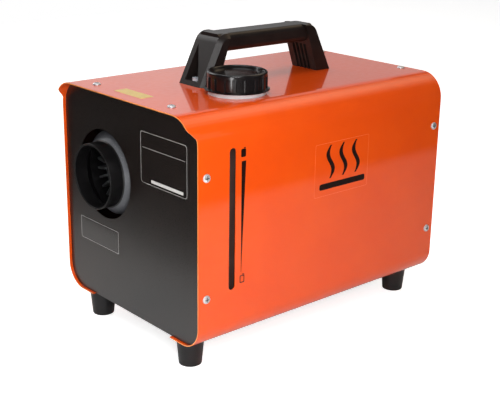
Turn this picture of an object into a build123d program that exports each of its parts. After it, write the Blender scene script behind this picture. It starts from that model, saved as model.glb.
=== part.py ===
from build123d import *
import os
from math import cos, radians, sin

os.makedirs("parts", exist_ok=True)

# Portable air heater in a bent sheet cover. Millimetres, +Z up, +X from the hot air outlet to the rear.
# The origin is on the floor, under the middle of the whole object.

# Case
case_length = 369
case_width = 250
case_height = 250
sheet = 1.2
top_bend_radius = 29.5
bottom_bend_radius = 27
lip_width = 50
tray_side_room = 30
tray_edge_height = 10
tray_edge_inset = 30
visor_reach = 9
visor_drop = 21.5
visor_slant_rise = 9.7
visor_edge_radius = 6
panel_recess = 3
panel_flange = 12.5
panel_clearance = 0.2
overrun = 6

# Feet
foot_height = 31.5
foot_top_radius = 15.5
foot_bottom_radius = 12.6
foot_spacing_x = 328
foot_inset_y = 40
foot_rim = 1

# Screws and nuts
screw_inset = 10.5
side_screw_spacing = 130
side_screw_centre = 123.5
top_screw_inset = 56.5
screw_head_radius = 4.5
screw_head_height = 2.4
screw_radius = 1.9
screw_length = 8
screw_hole_radius = 2.1
bolt_radius = 2.5
bolt_hole_radius = 2.8
bolt_head_radius = 4.5
bolt_head_height = 3.2
nut_radius = 4.6
nut_height = 4
fit_gap = 0.3

# Heater unit, its axis along X
heater_side_room = 21.5
heater_z = 153.3
jacket_length = 300
jacket_width = 112
jacket_height = 118
jacket_corner = 32
jacket_wall = 2.5
jacket_joint_gap = 0.2

# Hot air outlet
spigot_radius = 37.2
spigot_rim_fillet = 0.8
spigot_wall = 2.2
spigot_reach = 16
outlet_hole_radius = 51
hood_radius = 47.5
hood_cone_length = 11
hood_flange_radius = 52.5
hood_flange_thickness = 3
hood_skirt_depth = 5

# Level slot in the side of the cover
slot_inset = 44.5
slot_width = 8.6
slot_length = 144
slot_centre = 140

# Fuel tank and filler
tank_front_room = 18.5
tank_rear_room = 96.5
tank_side_room = 16.5
tank_heater_gap = 4
tank_headroom = 32.6
tank_wall = 3
tank_corner = 16
tank_edge = 9
pad_height = 9
pad_width = 30
pad_spacing = 80
neck_x = -78
neck_offset = 3.5
neck_radius = 27
neck_wall = 4
neck_rise = 16.5
seal_radius = 31.2
seal_height = 4.4
cap_radius = 31.2
cap_shoulder_radius = 32.7
cap_lip_radius = 35.5
cap_lip_height = 1.8
cap_height = 20
cap_shoulder_height = 5
cap_rim_fillet = 1.9
cap_dish_depth = 3
cap_dish_radius = 27
cap_dish_slope = 2
cap_thread_gap = 1.4
cap_rib_count = 16
cap_rib_width = 4.6
gasket_height = 2
gasket_inner_radius = 21
cap_seat_gap = 0.1

# Handle
handle_x = 3
handle_y = 2
handle_length = 197
handle_width = 42
handle_height = 56
leg_outer_run = 28
leg_inner_run = 19.6
leg_foot_length = 22.5
handle_shoulder_radius = 16
handle_chamfer = 5
handle_edge_break = 1
grip_width = 34
grip_depth = 20.3
grip_corner = 6
pocket_floor = 5
pocket_top = 43.5
pocket_far_y = 12.5
pocket_near_y = -10.7
pocket_wall = 6.5
flute_depth = 3.5
flute_width = 4.2
flute_pitch = 6.4
flute_count = 4
handle_bolt_inset = 8

# Rear panel fittings
inlet_hole_radius = 46
guard_radius = 50
guard_thickness = 2
guard_wire = 2.4
guard_ring_pitch = 11.5
controller_y = -62
controller_z = 166
controller_width = 96
controller_height = 58
controller_bezel = 4
controller_corner = 5
controller_body_margin = 5
controller_depth = 20
controller_wall = 2
window_width = 40
window_height = 34
window_y = -18
button_radius = 4
button_gap = 0.25
button_rise = 1.6
button_flange = 1
button_flange_height = 1
button_travel = 1
button_pitch = 11
button_y = 24
board_thickness = 1.6
inlet_socket_y = -62
inlet_socket_z = 62
socket_radius = 8
socket_flange_radius = 12
socket_flange_thickness = 2.5
socket_depth = 18
socket_pin_pitch = 6
socket_pin_radius = 1.5
vent_count = 6
vent_width = 4
vent_length = 46
vent_pitch = 10
vent_z = 112

# Heat exchanger and burner
exchanger_front = -162
exchanger_rear = -12
exchanger_radius = 32
exchanger_wall = 4
exchanger_nose = 4
fin_radius = 43.5
fin_thickness = 2.4
fin_count = 24
exchanger_flange_radius = 43.5
exchanger_flange = 8
foot_block_x = -75
foot_block_length = 86
foot_block_width = 70
foot_block_bottom = 95.5
burner_radius = 22
burner_wall = 1.5
burner_length = 96
burner_flange_radius = 27.5
burner_flange = 2
burner_hole_rows = 3
burner_holes_round = 8
burner_hole_radius = 1.8
burner_row_pitch = 16
burner_row_start = 32
glow_plug_x = -30
glow_plug_radius = 4
glow_plug_tip_radius = 2.4
glow_plug_tip = 8
glow_plug_hex = 6
glow_boss_radius = 8
sensor_x = -78
sensor_length = 18
sensor_width = 11
sensor_height = 5

# Blower
blower_length = 38
blower_radius = 40
blower_wall = 4
combustion_fan_radius = 31
combustion_fan_disc = 3
combustion_fan_vane = 12
combustion_vane_count = 14
combustion_vane_thickness = 1.6
combustion_vane_lean = 18
combustion_hub_radius = 6
vane_centre_share = 0.66
vane_length_share = 0.6
fan_front_gap = 6
motor_length = 66
motor_radius = 26
motor_wall = 2
magnet_thickness = 4.5
magnet_span = 130
magnet_turns = (90, 270)
armature_length = 36
armature_gap = 0.6
armature_slots = 7
armature_slot_width = 2
bearing_radius = 8
bearing_width = 5
shaft_radius = 2.5
shaft_clearance = 0.05
fan_start = 104
fan_length = 28
fan_hub_radius = 15
fan_radius = 47
fan_blade_count = 9
fan_blade_thickness = 2
fan_blade_root = 11
fan_root_pitch = 52
fan_tip_pitch = 28
fan_root_chord = 26
fan_tip_chord = 30
grille_radius = 50
grille_thickness = 4
grille_bar = 3
control_box_length = 62
control_box_width = 46
control_box_height = 32
control_box_corner = 3
control_box_base = 13

# Heater bracket and its fasteners
bracket_thickness = 2
bracket_length = 100
bracket_width = 88
bracket_foot = 14
gasket_thickness = 1.5
stud_spacing_x = 76
stud_spacing_y = 60
stud_radius = 2.5
stud_length = 18
port_radius = 12
port_wall = 1.5
port_length = 25
exhaust_port_x = -88
intake_port_x = -62
port_offset = 20.5
port_drill_depth = 22

# Exhaust, combustion air and fuel lines
pipe_wall = 1.2
pipe_bend_radius = 30
exhaust_run_z = 40
exhaust_stub = 24
exhaust_stub_radius = 12
exhaust_flange_radius = 22
exhaust_flange_thickness = 2
rivet_radius = 1.6
rivet_circle = 18
clamp_width = 9
clamp_thickness = 0.8
clamp_screw_radius = 3
clamp_screw_length = 14
silencer_radius = 20
silencer_length = 78
silencer_start = -22
silencer_wall = 2.5
silencer_chamfer = 2.4
silencer_socket = 10
silencer_foot_width = 16
silencer_foot_length = 40
silencer_mouth_radius = 8
pump_rear_room = 66.5
pump_offset = 33
pump_z = 30
pump_radius = 13
pump_length = 52
pump_nose_radius = 7
pump_nose_length = 9
pump_bore_radius = 5
pump_wall = 3
plunger_length = 22
plunger_clearance = 0.06
clip_thickness = 2.2
clip_width = 16
filter_rear_room = 60.5
filter_side_room = 20.5
filter_radius = 11
filter_length = 32
nipple_radius = 2.6
nipple_bore = 1.3
nipple_length = 9
hose_wall = 1.3
hose_overlap = 7
delivery_bend = 9
suction_bend = 6
fuel_line_z = 58
fuel_port_x = -103
loom_radius = 3
loom_bend = 6
loom_entry_x = 97
loom_entry_z = 186
lead_radius = 2.5
lead_bend = 8
lead_rear_room = 34.5

# Derived places
case_bottom = foot_height
rear_reach = case_length / 2 - panel_recess + exhaust_stub
front_reach = case_length / 2 - panel_recess + spigot_reach
case_x = (front_reach - rear_reach) / 2
front_plate_x = -case_length / 2 + panel_recess
rear_plate_x = case_length / 2 - panel_recess
screw_x = case_length / 2 - screw_inset
tray_top = 2 * sheet
tray_width = case_width - 2 * tray_side_room
tray_edge_width = tray_width - 2 * tray_edge_inset
foot_spacing_y = case_width - 2 * foot_inset_y
top_screw_spacing = case_width - 2 * top_screw_inset
heater_y = case_width / 2 - heater_side_room - jacket_width / 2
tank_bottom = tray_top + pad_height
tank_length = case_length - tank_front_room - tank_rear_room
tank_width = case_width - tank_side_room - heater_side_room - jacket_width - tank_heater_gap
tank_height = case_height - tank_headroom - tank_bottom
tank_x = tank_front_room + tank_length / 2 - case_length / 2
tank_y = tank_side_room + tank_width / 2 - case_width / 2
neck_y = tank_y + neck_offset
exhaust_port_y = heater_y + port_offset
intake_port_y = heater_y - port_offset
fuel_port_y = intake_port_y
pump_x = case_length / 2 - pump_rear_room
pump_y = intake_port_y - pump_offset
filter_x = case_length / 2 - filter_rear_room
filter_y = tank_y - tank_width / 2 + filter_side_room
lead_x = case_length / 2 - lead_rear_room
cap_bottom = case_height + seal_height + fit_gap
neck_top = case_height + neck_rise


def above(height, x=0, y=0):
    return Plane((case_x + x, y, case_bottom + height))


def across(x, y=0, z=0):
    return Plane((case_x + x, y, case_bottom + z), x_dir=(0, 1, 0), z_dir=(1, 0, 0))


def along(y, x=0, z=0):
    return Plane((case_x + x, y, case_bottom + z), x_dir=(1, 0, 0), z_dir=(0, -1, 0))


def heater_section(x):
    return across(x, heater_y, heater_z)


heater_profile = along(heater_y, 0, heater_z)
heater_axis = Axis((case_x, heater_y, case_bottom + heater_z), (1, 0, 0))
neck_axis = Axis((case_x + neck_x, neck_y, case_bottom), (0, 0, 1))


def case_outline(inset):
    """Section of the case, its sides and bends drawn in by inset."""
    with BuildSketch() as outline:
        with Locations((0, case_height / 2)):
            Rectangle(case_width - 2 * inset, case_height - 2 * inset)
        corners = outline.vertices().group_by(Axis.Y)
        fillet(corners[-1], radius=top_bend_radius - inset)
        corners = outline.vertices().group_by(Axis.Y)
        fillet(corners[0], radius=bottom_bend_radius - inset)
    return outline.sketch


cover_outer = case_outline(0)
cover_inner = case_outline(sheet)
panel_outer = case_outline(sheet + panel_clearance)
panel_inner = case_outline(2 * sheet + panel_clearance)

side_screw_points = [
    (side * screw_x, side_screw_centre + step * side_screw_spacing / 2)
    for side in (-1, 1)
    for step in (-1, 1)
]


# Clearance holes for the cover screws, cut alike from the cover and both panels
with BuildPart() as screw_holes:
    for side in (-1, 1):
        with BuildSketch(along(side * case_width / 2)):
            with Locations(*side_screw_points):
                Circle(screw_hole_radius)
        extrude(amount=overrun, both=True)
    with BuildSketch(above(case_height)):
        with GridLocations(2 * screw_x, top_screw_spacing, 2, 2):
            Circle(screw_hole_radius)
    extrude(amount=overrun, both=True)


# Cover: one sheet bent round the top, the sides and the edges of the floor
with BuildPart() as cover:
    with BuildSketch(across(-case_length / 2 - visor_reach - overrun)):
        add(cover_outer)
        add(cover_inner, mode=Mode.SUBTRACT)
        Rectangle(case_width - 2 * lip_width, 2 * overrun, mode=Mode.SUBTRACT)
    extrude(amount=case_length + visor_reach + overrun)
    # The front edge steps forward as a visor over the upper bends.
    with BuildSketch(along(case_width / 2 + overrun)):
        with BuildLine():
            slant_start = case_height - visor_drop
            front_edge = FilletPolyline(
                (-case_length / 2, -overrun),
                (-case_length / 2, slant_start),
                (-case_length / 2 - visor_reach, slant_start + visor_slant_rise),
                (-case_length / 2 - visor_reach, case_height + overrun),
                radius=visor_edge_radius,
            )
            Polyline(
                front_edge @ 1,
                (-case_length / 2 - visor_reach - 2 * overrun, case_height + overrun),
                (-case_length / 2 - visor_reach - 2 * overrun, -overrun),
                front_edge @ 0,
            )
        make_face()
    extrude(amount=case_width + 2 * overrun, mode=Mode.SUBTRACT)
    with BuildSketch(along(-case_width / 2, -case_length / 2 + slot_inset, slot_centre)):
        SlotOverall(slot_length, slot_width, rotation=90)
    extrude(amount=overrun, both=True, mode=Mode.SUBTRACT)
    add(screw_holes.part, mode=Mode.SUBTRACT)
    with BuildSketch(above(case_height, neck_x, neck_y)):
        Circle(neck_radius + 2 * fit_gap)
    extrude(amount=overrun, both=True, mode=Mode.SUBTRACT)
    with BuildSketch(above(case_height, handle_x, handle_y)):
        with GridLocations(handle_length - 2 * handle_bolt_inset, 0, 2, 1):
            Circle(bolt_hole_radius)
    extrude(amount=overrun, both=True, mode=Mode.SUBTRACT)
    with BuildSketch(above(0)):
        with GridLocations(foot_spacing_x, foot_spacing_y, 2, 2):
            Circle(bolt_hole_radius)
    extrude(amount=overrun, both=True, mode=Mode.SUBTRACT)
cover.part.label = "cover"
export_step(cover.part, "parts/cover.step")

# Front panel: a shallow pan whose flange takes the cover screws, with the outlet hole
with BuildPart() as front_panel:
    with BuildSketch(across(front_plate_x)):
        add(panel_outer)
    extrude(amount=panel_flange)
    with BuildSketch(across(front_plate_x + sheet)):
        add(panel_inner)
    extrude(amount=panel_flange, mode=Mode.SUBTRACT)
    with BuildSketch(heater_section(front_plate_x)):
        Circle(outlet_hole_radius)
    extrude(amount=overrun, both=True, mode=Mode.SUBTRACT)
    add(screw_holes.part, mode=Mode.SUBTRACT)
front_panel.part.label = "front_panel"
export_step(front_panel.part, "parts/front_panel.step")

# Rear panel: the same pan the other way round, cut for the fittings it carries
guard_screw_circle = guard_radius + screw_head_radius
with BuildPart() as rear_panel:
    with BuildSketch(across(rear_plate_x - panel_flange)):
        add(panel_outer)
    extrude(amount=panel_flange)
    with BuildSketch(across(rear_plate_x - sheet)):
        add(panel_inner)
    extrude(amount=-panel_flange, mode=Mode.SUBTRACT)
    with BuildSketch(heater_section(rear_plate_x)):
        Circle(inlet_hole_radius)
        with PolarLocations(guard_screw_circle, 4, start_angle=45):
            Circle(screw_hole_radius)
    extrude(amount=overrun, both=True, mode=Mode.SUBTRACT)
    with BuildSketch(across(rear_plate_x, controller_y, controller_z)):
        Rectangle(
            controller_width - 2 * controller_body_margin + 2 * fit_gap,
            controller_height - 2 * controller_body_margin + 2 * fit_gap,
        )
    extrude(amount=overrun, both=True, mode=Mode.SUBTRACT)
    with BuildSketch(across(rear_plate_x, inlet_socket_y, inlet_socket_z)):
        Circle(socket_radius + fit_gap)
    extrude(amount=overrun, both=True, mode=Mode.SUBTRACT)
    with BuildSketch(across(rear_plate_x, exhaust_port_y, exhaust_run_z)):
        Circle(port_radius + pipe_wall + 2 * fit_gap)
    extrude(amount=overrun, both=True, mode=Mode.SUBTRACT)
    with BuildSketch(across(rear_plate_x, controller_y, vent_z)):
        with GridLocations(0, vent_pitch, 1, vent_count):
            SlotOverall(vent_length, vent_width)
    extrude(amount=overrun, both=True, mode=Mode.SUBTRACT)
    add(screw_holes.part, mode=Mode.SUBTRACT)
rear_panel.part.label = "rear_panel"
export_step(rear_panel.part, "parts/rear_panel.step")

# Floor tray between the two panels, resting on the lips of the cover
tray_length = 2 * (rear_plate_x - panel_flange - fit_gap)
with BuildPart() as floor_tray:
    with BuildSketch(above(sheet)):
        Rectangle(tray_length, tray_width)
    extrude(amount=sheet)
    with BuildSketch(above(sheet)):
        with GridLocations(tray_length - sheet, 0, 2, 1):
            Rectangle(sheet, tray_edge_width)
    extrude(amount=tray_edge_height)
    with BuildSketch(above(sheet)):
        with GridLocations(foot_spacing_x, foot_spacing_y, 2, 2):
            Circle(bolt_hole_radius)
    extrude(amount=tray_top, both=True, mode=Mode.SUBTRACT)
floor_tray.part.label = "floor_tray"
export_step(floor_tray.part, "parts/floor_tray.step")


def pan_screw():
    """Pan head screw, its head seated on the plane and its shank below it."""
    with BuildPart() as screw:
        with BuildSketch():
            Circle(screw_head_radius)
        extrude(amount=screw_head_height)
        chamfer(screw.edges().group_by(Axis.Z)[-1], length=screw_head_height / 3, length2=screw_head_height / 2)
        with BuildSketch():
            Circle(screw_radius)
        extrude(amount=-screw_length)
    return screw.part


def hex_bolt(length):
    """Hexagon head bolt, its head seated on the plane and its shank below it."""
    with BuildPart() as bolt:
        with BuildSketch():
            RegularPolygon(bolt_head_radius, 6)
        extrude(amount=bolt_head_height)
        with BuildSketch():
            Circle(bolt_radius)
        extrude(amount=-length)
    return bolt.part


def hex_nut():
    """Hexagon nut standing on the plane."""
    with BuildPart() as nut:
        with BuildSketch():
            RegularPolygon(nut_radius, 6)
            Circle(bolt_radius, mode=Mode.SUBTRACT)
        extrude(amount=nut_height)
    return nut.part


small_screw = pan_screw()
side_planes = [
    Plane(
        (case_x + x, side * case_width / 2, case_bottom + z),
        x_dir=(1, 0, 0),
        z_dir=(0, side, 0),
    )
    for side in (-1, 1)
    for x, z in side_screw_points
]
top_planes = [
    above(case_height, side * screw_x, step * top_screw_spacing / 2)
    for side in (-1, 1)
    for step in (-1, 1)
]

# Cover screws: eight in the sides and four in the top
with BuildPart() as cover_screws:
    with Locations(*side_planes, *top_planes):
        add(small_screw)
cover_screws.part.label = "cover_screws"
export_step(cover_screws.part, "parts/cover_screws.step")

# Feet: tapered rubber cones with a deep pocket for the bolt head
foot_pocket_depth = foot_height - 2 * bolt_head_radius
with BuildPart(above(-foot_height)) as feet:
    with GridLocations(foot_spacing_x, foot_spacing_y, 2, 2):
        Cone(
            foot_bottom_radius,
            foot_top_radius,
            foot_height,
            align=(Align.CENTER, Align.CENTER, Align.MIN),
        )
    rims = feet.edges().filter_by(GeomType.CIRCLE).group_by(Axis.Z)[0]
    fillet(rims, radius=foot_rim)
    with BuildSketch(above(-foot_height)):
        with GridLocations(foot_spacing_x, foot_spacing_y, 2, 2):
            Circle(bolt_head_radius + 2 * fit_gap)
    extrude(amount=foot_pocket_depth, mode=Mode.SUBTRACT)
    with BuildSketch(above(-foot_height)):
        with GridLocations(foot_spacing_x, foot_spacing_y, 2, 2):
            Circle(bolt_hole_radius)
    extrude(amount=foot_height, mode=Mode.SUBTRACT)
feet.part.label = "feet"
export_step(feet.part, "parts/feet.step")

# Foot bolts: up through foot, cover lip and tray
foot_spots = [
    (side * foot_spacing_x / 2, step * foot_spacing_y / 2)
    for side in (-1, 1)
    for step in (-1, 1)
]
foot_bolt_seat = foot_pocket_depth - foot_height
foot_bolt_length = tray_top - foot_bolt_seat + nut_height + sheet
foot_bolt = hex_bolt(foot_bolt_length)
with BuildPart() as foot_bolts:
    with Locations(*[
        Plane((case_x + x, y, case_bottom + foot_bolt_seat), x_dir=(1, 0, 0), z_dir=(0, 0, -1))
        for x, y in foot_spots
    ]):
        add(foot_bolt)
foot_bolts.part.label = "foot_bolts"
export_step(foot_bolts.part, "parts/foot_bolts.step")

# Handle: two leaning legs with a narrower grip between them
half_length = handle_length / 2
inner_slope = leg_inner_run / handle_height


def leg_inner_x(height):
    """Distance of a leg's inner face from the middle of the handle."""
    return half_length - leg_foot_length - inner_slope * height


def handle_side(y):
    return along(handle_y + y, handle_x, case_height)


# Triangular pocket in the outer face of the front leg, for the bolt and its spanner
with BuildPart() as leg_pocket:
    with BuildSketch(handle_side(pocket_far_y)):
        with BuildLine():
            Polyline(
                (-half_length - overrun, pocket_floor),
                (-leg_inner_x(pocket_floor) - pocket_wall, pocket_floor),
                (-leg_inner_x(pocket_top) - pocket_wall, pocket_top),
                (-half_length - overrun, pocket_top),
                close=True,
            )
        make_face()
    extrude(amount=pocket_far_y - pocket_near_y)
    with BuildSketch(across(handle_x, handle_y, case_height)):
        with BuildLine():
            Polyline(
                (pocket_far_y, pocket_floor),
                (pocket_far_y, pocket_top),
                (pocket_near_y, pocket_floor),
                close=True,
            )
        make_face()
    extrude(amount=-half_length - 2 * overrun, mode=Mode.INTERSECT)

# The two legs are alike when the handle is turned half round.
handle_axis = Axis((case_x + handle_x, handle_y, case_bottom), (0, 0, 1))
leg_pockets = [leg_pocket.part, leg_pocket.part.rotate(handle_axis, 180)]
flute_ys = [(step - (flute_count - 1) / 2) * flute_pitch for step in range(flute_count)]
with BuildPart() as handle:
    for side in (-1, 1):
        with BuildSketch(handle_side(handle_width / 2)) as leg:
            with BuildLine():
                Polyline(
                    (side * half_length, 0),
                    (side * (half_length - leg_outer_run), handle_height),
                    (side * leg_inner_x(handle_height), handle_height),
                    (side * leg_inner_x(0), 0),
                    close=True,
                )
            make_face()
            shoulder = leg.vertices().group_by(Axis.Y)[-1].sort_by(Axis.X)
            fillet(shoulder[0 if side < 0 else -1], radius=handle_shoulder_radius)
        extrude(amount=handle_width)
    leaning = handle.edges().filter_by(GeomType.LINE)
    leaning = leaning.filter_by(Axis.X, reverse=True).filter_by(Axis.Y, reverse=True)
    leaning = leaning.sort_by(lambda edge: abs(edge.center().X - case_x - handle_x))[-4:]
    leaning = leaning.sort_by(
        lambda edge: (edge.center().X - case_x - handle_x) * (edge.center().Y - handle_y)
    )
    chamfer(leaning[-2:], length=handle_chamfer)
    chamfer(leaning[:2], length=handle_edge_break)
    grip_x = leg_inner_x(handle_height - grip_depth) + leg_foot_length / 3
    with BuildSketch(across(handle_x - grip_x, handle_y, case_height + handle_height - grip_depth / 2)):
        RectangleRounded(grip_width, grip_depth, grip_corner)
    extrude(amount=2 * grip_x)
    for pocket in leg_pockets:
        add(pocket, mode=Mode.SUBTRACT)
    # Ribs between upright flutes on the inner faces of the legs
    for side in (-1, 1):
        for y in flute_ys:
            flute_top = handle_height - grip_depth - flute_width
            with BuildSketch(handle_side(y + flute_width / 2)):
                with BuildLine():
                    Polyline(
                        (side * (leg_inner_x(0) + flute_depth), -overrun),
                        (side * (leg_inner_x(flute_top) + flute_depth), flute_top),
                        (side * (leg_inner_x(flute_top) - flute_depth), flute_top),
                        (side * (leg_inner_x(0) - flute_depth), -overrun),
                        close=True,
                    )
                make_face()
            extrude(amount=flute_width, mode=Mode.SUBTRACT)
    with BuildSketch(above(case_height, handle_x, handle_y)):
        with GridLocations(handle_length - 2 * handle_bolt_inset, 0, 2, 1):
            Circle(bolt_hole_radius)
    extrude(amount=pocket_floor + bolt_head_radius, mode=Mode.SUBTRACT)
handle.part.label = "handle"
export_step(handle.part, "parts/handle.step")

handle_bolt_x = handle_length / 2 - handle_bolt_inset
handle_bolt = hex_bolt(pocket_floor + sheet + nut_height + sheet)
with BuildPart() as handle_bolts:
    with Locations(*[
        above(case_height + pocket_floor, handle_x + side * handle_bolt_x, handle_y)
        for side in (-1, 1)
    ]):
        add(handle_bolt)
handle_bolts.part.label = "handle_bolts"
export_step(handle_bolts.part, "parts/handle_bolts.step")


def tank_shape(inset, edge_radius):
    """Blow moulded box, drawn in by inset."""
    with BuildPart() as box:
        with BuildSketch(above(tank_bottom + inset, tank_x, tank_y)):
            RectangleRounded(tank_length - 2 * inset, tank_width - 2 * inset, tank_corner - inset)
        extrude(amount=tank_height - 2 * inset)
        if edge_radius:
            rims = box.edges().group_by(Axis.Z)
            fillet(rims[-1] + rims[0], radius=edge_radius)
    return box.part


# Fuel tank: hollow, with the filler neck on top and an outlet nipple low at its rear end
tank_outer = tank_shape(0, tank_edge)
tank_inner = tank_shape(tank_wall, 0)
tank_rear = tank_x + tank_length / 2
tank_top = tank_bottom + tank_height
with BuildPart() as fuel_tank:
    add(tank_outer)
    with BuildSketch(above(tank_top - tank_wall, neck_x, neck_y)):
        Circle(neck_radius)
    extrude(amount=neck_top - tank_top + tank_wall)
    with BuildSketch(across(tank_rear - tank_wall, filter_y, pump_z)):
        Circle(nipple_radius)
    extrude(amount=tank_wall + nipple_length)
    add(tank_inner, mode=Mode.SUBTRACT)
    with BuildSketch(above(tank_top - 2 * tank_wall, neck_x, neck_y)):
        Circle(neck_radius - neck_wall)
    extrude(amount=neck_top - tank_top + 3 * tank_wall, mode=Mode.SUBTRACT)
    with BuildSketch(across(tank_rear - 2 * tank_wall, filter_y, pump_z)):
        Circle(nipple_bore)
    extrude(amount=2 * tank_wall + 2 * nipple_length, mode=Mode.SUBTRACT)
fuel_tank.part.label = "fuel_tank"
export_step(fuel_tank.part, "parts/fuel_tank.step")

# Foam pads between the tray and the tank
with BuildPart() as tank_pads:
    with BuildSketch(above(tray_top, tank_x, tank_y)):
        with GridLocations(pad_spacing, 0, 3, 1):
            Rectangle(pad_width, tank_width - 2 * tank_corner)
    extrude(amount=pad_height)
tank_pads.part.label = "tank_pads"
export_step(tank_pads.part, "parts/tank_pads.step")

# Neck seal: a ring on the cover round the filler neck, with a spigot in the hole
with BuildPart() as neck_seal:
    with BuildSketch(above(case_height, neck_x, neck_y)):
        Circle(seal_radius)
        Circle(neck_radius + fit_gap, mode=Mode.SUBTRACT)
    extrude(amount=seal_height)
neck_seal.part.label = "neck_seal"
export_step(neck_seal.part, "parts/neck_seal.step")

# Filler cap: ribbed skirt, flared lip, raised rim round a dished top
cap_profile = along(neck_y, neck_x)
cap_top = cap_bottom + cap_height
cap_ceiling = neck_top + gasket_height + 2 * cap_seat_gap
cap_inner_radius = neck_radius + cap_thread_gap
with BuildPart() as filler_cap:
    with BuildSketch(cap_profile):
        with BuildLine():
            Polyline(
                (0, cap_ceiling),
                (cap_inner_radius, cap_ceiling),
                (cap_inner_radius, cap_bottom),
                (cap_lip_radius, cap_bottom),
                (cap_lip_radius, cap_bottom + cap_lip_height / 2),
                (cap_radius, cap_bottom + cap_lip_height),
                (cap_radius, cap_top - cap_shoulder_height),
                (cap_shoulder_radius, cap_top - cap_shoulder_height),
                (cap_shoulder_radius, cap_top),
                (cap_dish_radius + cap_dish_slope, cap_top),
                (cap_dish_radius, cap_top - cap_dish_depth),
                (0, cap_top - cap_dish_depth),
                close=True,
            )
        make_face()
    revolve(axis=neck_axis)
    rim = filler_cap.edges().filter_by(GeomType.CIRCLE).group_by(Axis.Z)[-1]
    fillet(rim, radius=cap_rim_fillet)
    with BuildSketch(above(cap_bottom + cap_lip_height / 2, neck_x, neck_y)):
        with PolarLocations((cap_radius + cap_shoulder_radius) / 2 - fit_gap, cap_rib_count):
            Rectangle(cap_shoulder_radius - cap_radius + 2 * fit_gap, cap_rib_width)
    extrude(amount=cap_height - cap_shoulder_height)
filler_cap.part.label = "filler_cap"
export_step(filler_cap.part, "parts/filler_cap.step")

with BuildPart() as cap_gasket:
    with BuildSketch(above(neck_top + cap_seat_gap, neck_x, neck_y)):
        Circle(neck_radius)
        Circle(gasket_inner_radius, mode=Mode.SUBTRACT)
    extrude(amount=gasket_height)
cap_gasket.part.label = "cap_gasket"
export_step(cap_gasket.part, "parts/cap_gasket.step")

# Outlet hood: skirt in the jacket, flange, cone and duct spigot, one revolved wall
jacket_front = -jacket_length / 2
jacket_rear = jacket_length / 2
rim_x = front_plate_x - spigot_reach
cone_end = front_plate_x + hood_cone_length
with BuildPart() as outlet_hood:
    with BuildSketch(heater_profile):
        with BuildLine():
            Polyline(
                (rim_x, spigot_radius),
                (front_plate_x, spigot_radius),
                (cone_end, hood_radius),
                (jacket_front - hood_flange_thickness, hood_radius),
                (jacket_front - hood_flange_thickness, hood_flange_radius),
                (jacket_front, hood_flange_radius),
                (jacket_front, hood_radius),
                (jacket_front + hood_skirt_depth, hood_radius),
                (jacket_front + hood_skirt_depth, hood_radius - spigot_wall),
                (cone_end, hood_radius - spigot_wall),
                (front_plate_x, spigot_radius - spigot_wall),
                (rim_x, spigot_radius - spigot_wall),
                close=True,
            )
        make_face()
    revolve(axis=heater_axis)
    fillet(outlet_hood.edges().filter_by(GeomType.CIRCLE).group_by(Axis.X)[0], radius=spigot_rim_fillet)
outlet_hood.part.label = "outlet_hood"
export_step(outlet_hood.part, "parts/outlet_hood.step")


def jacket_half(side):
    """Upper or lower half of the heater's plastic jacket, open at both round ends."""
    with BuildPart() as half:
        with BuildSketch(heater_section(jacket_front)):
            RectangleRounded(jacket_width, jacket_height, jacket_corner)
        extrude(amount=jacket_length)
        with BuildSketch(heater_section(jacket_front + jacket_wall)):
            RectangleRounded(
                jacket_width - 2 * jacket_wall,
                jacket_height - 2 * jacket_wall,
                jacket_corner - jacket_wall,
            )
        extrude(amount=jacket_length - 2 * jacket_wall, mode=Mode.SUBTRACT)
        with BuildSketch(heater_section(jacket_front)):
            Circle(hood_radius + fit_gap)
        extrude(amount=overrun, both=True, mode=Mode.SUBTRACT)
        with BuildSketch(heater_section(jacket_rear)):
            Circle(grille_radius - jacket_wall + fit_gap)
        extrude(amount=overrun, both=True, mode=Mode.SUBTRACT)
        with BuildSketch(heater_section(jacket_front - overrun)):
            with Locations((0, -side * (jacket_height / 2 - jacket_joint_gap / 2))):
                Rectangle(jacket_width + overrun, jacket_height)
        extrude(amount=jacket_length + 2 * overrun, mode=Mode.SUBTRACT)
        if side < 0:
            with BuildSketch(above(foot_block_bottom, foot_block_x, heater_y)):
                Rectangle(foot_block_length + fit_gap, foot_block_width + fit_gap)
            extrude(amount=2 * overrun, both=True, mode=Mode.SUBTRACT)
        else:
            with BuildSketch(along(heater_y - jacket_width / 2, loom_entry_x, loom_entry_z)):
                Circle(loom_radius + fit_gap)
            extrude(amount=2 * overrun, both=True, mode=Mode.SUBTRACT)
    return half.part


jacket_upper = jacket_half(1)
jacket_upper.label = "jacket_upper"
export_step(jacket_upper, "parts/jacket_upper.step")

jacket_lower = jacket_half(-1)
jacket_lower.label = "jacket_lower"
export_step(jacket_lower, "parts/jacket_lower.step")

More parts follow.
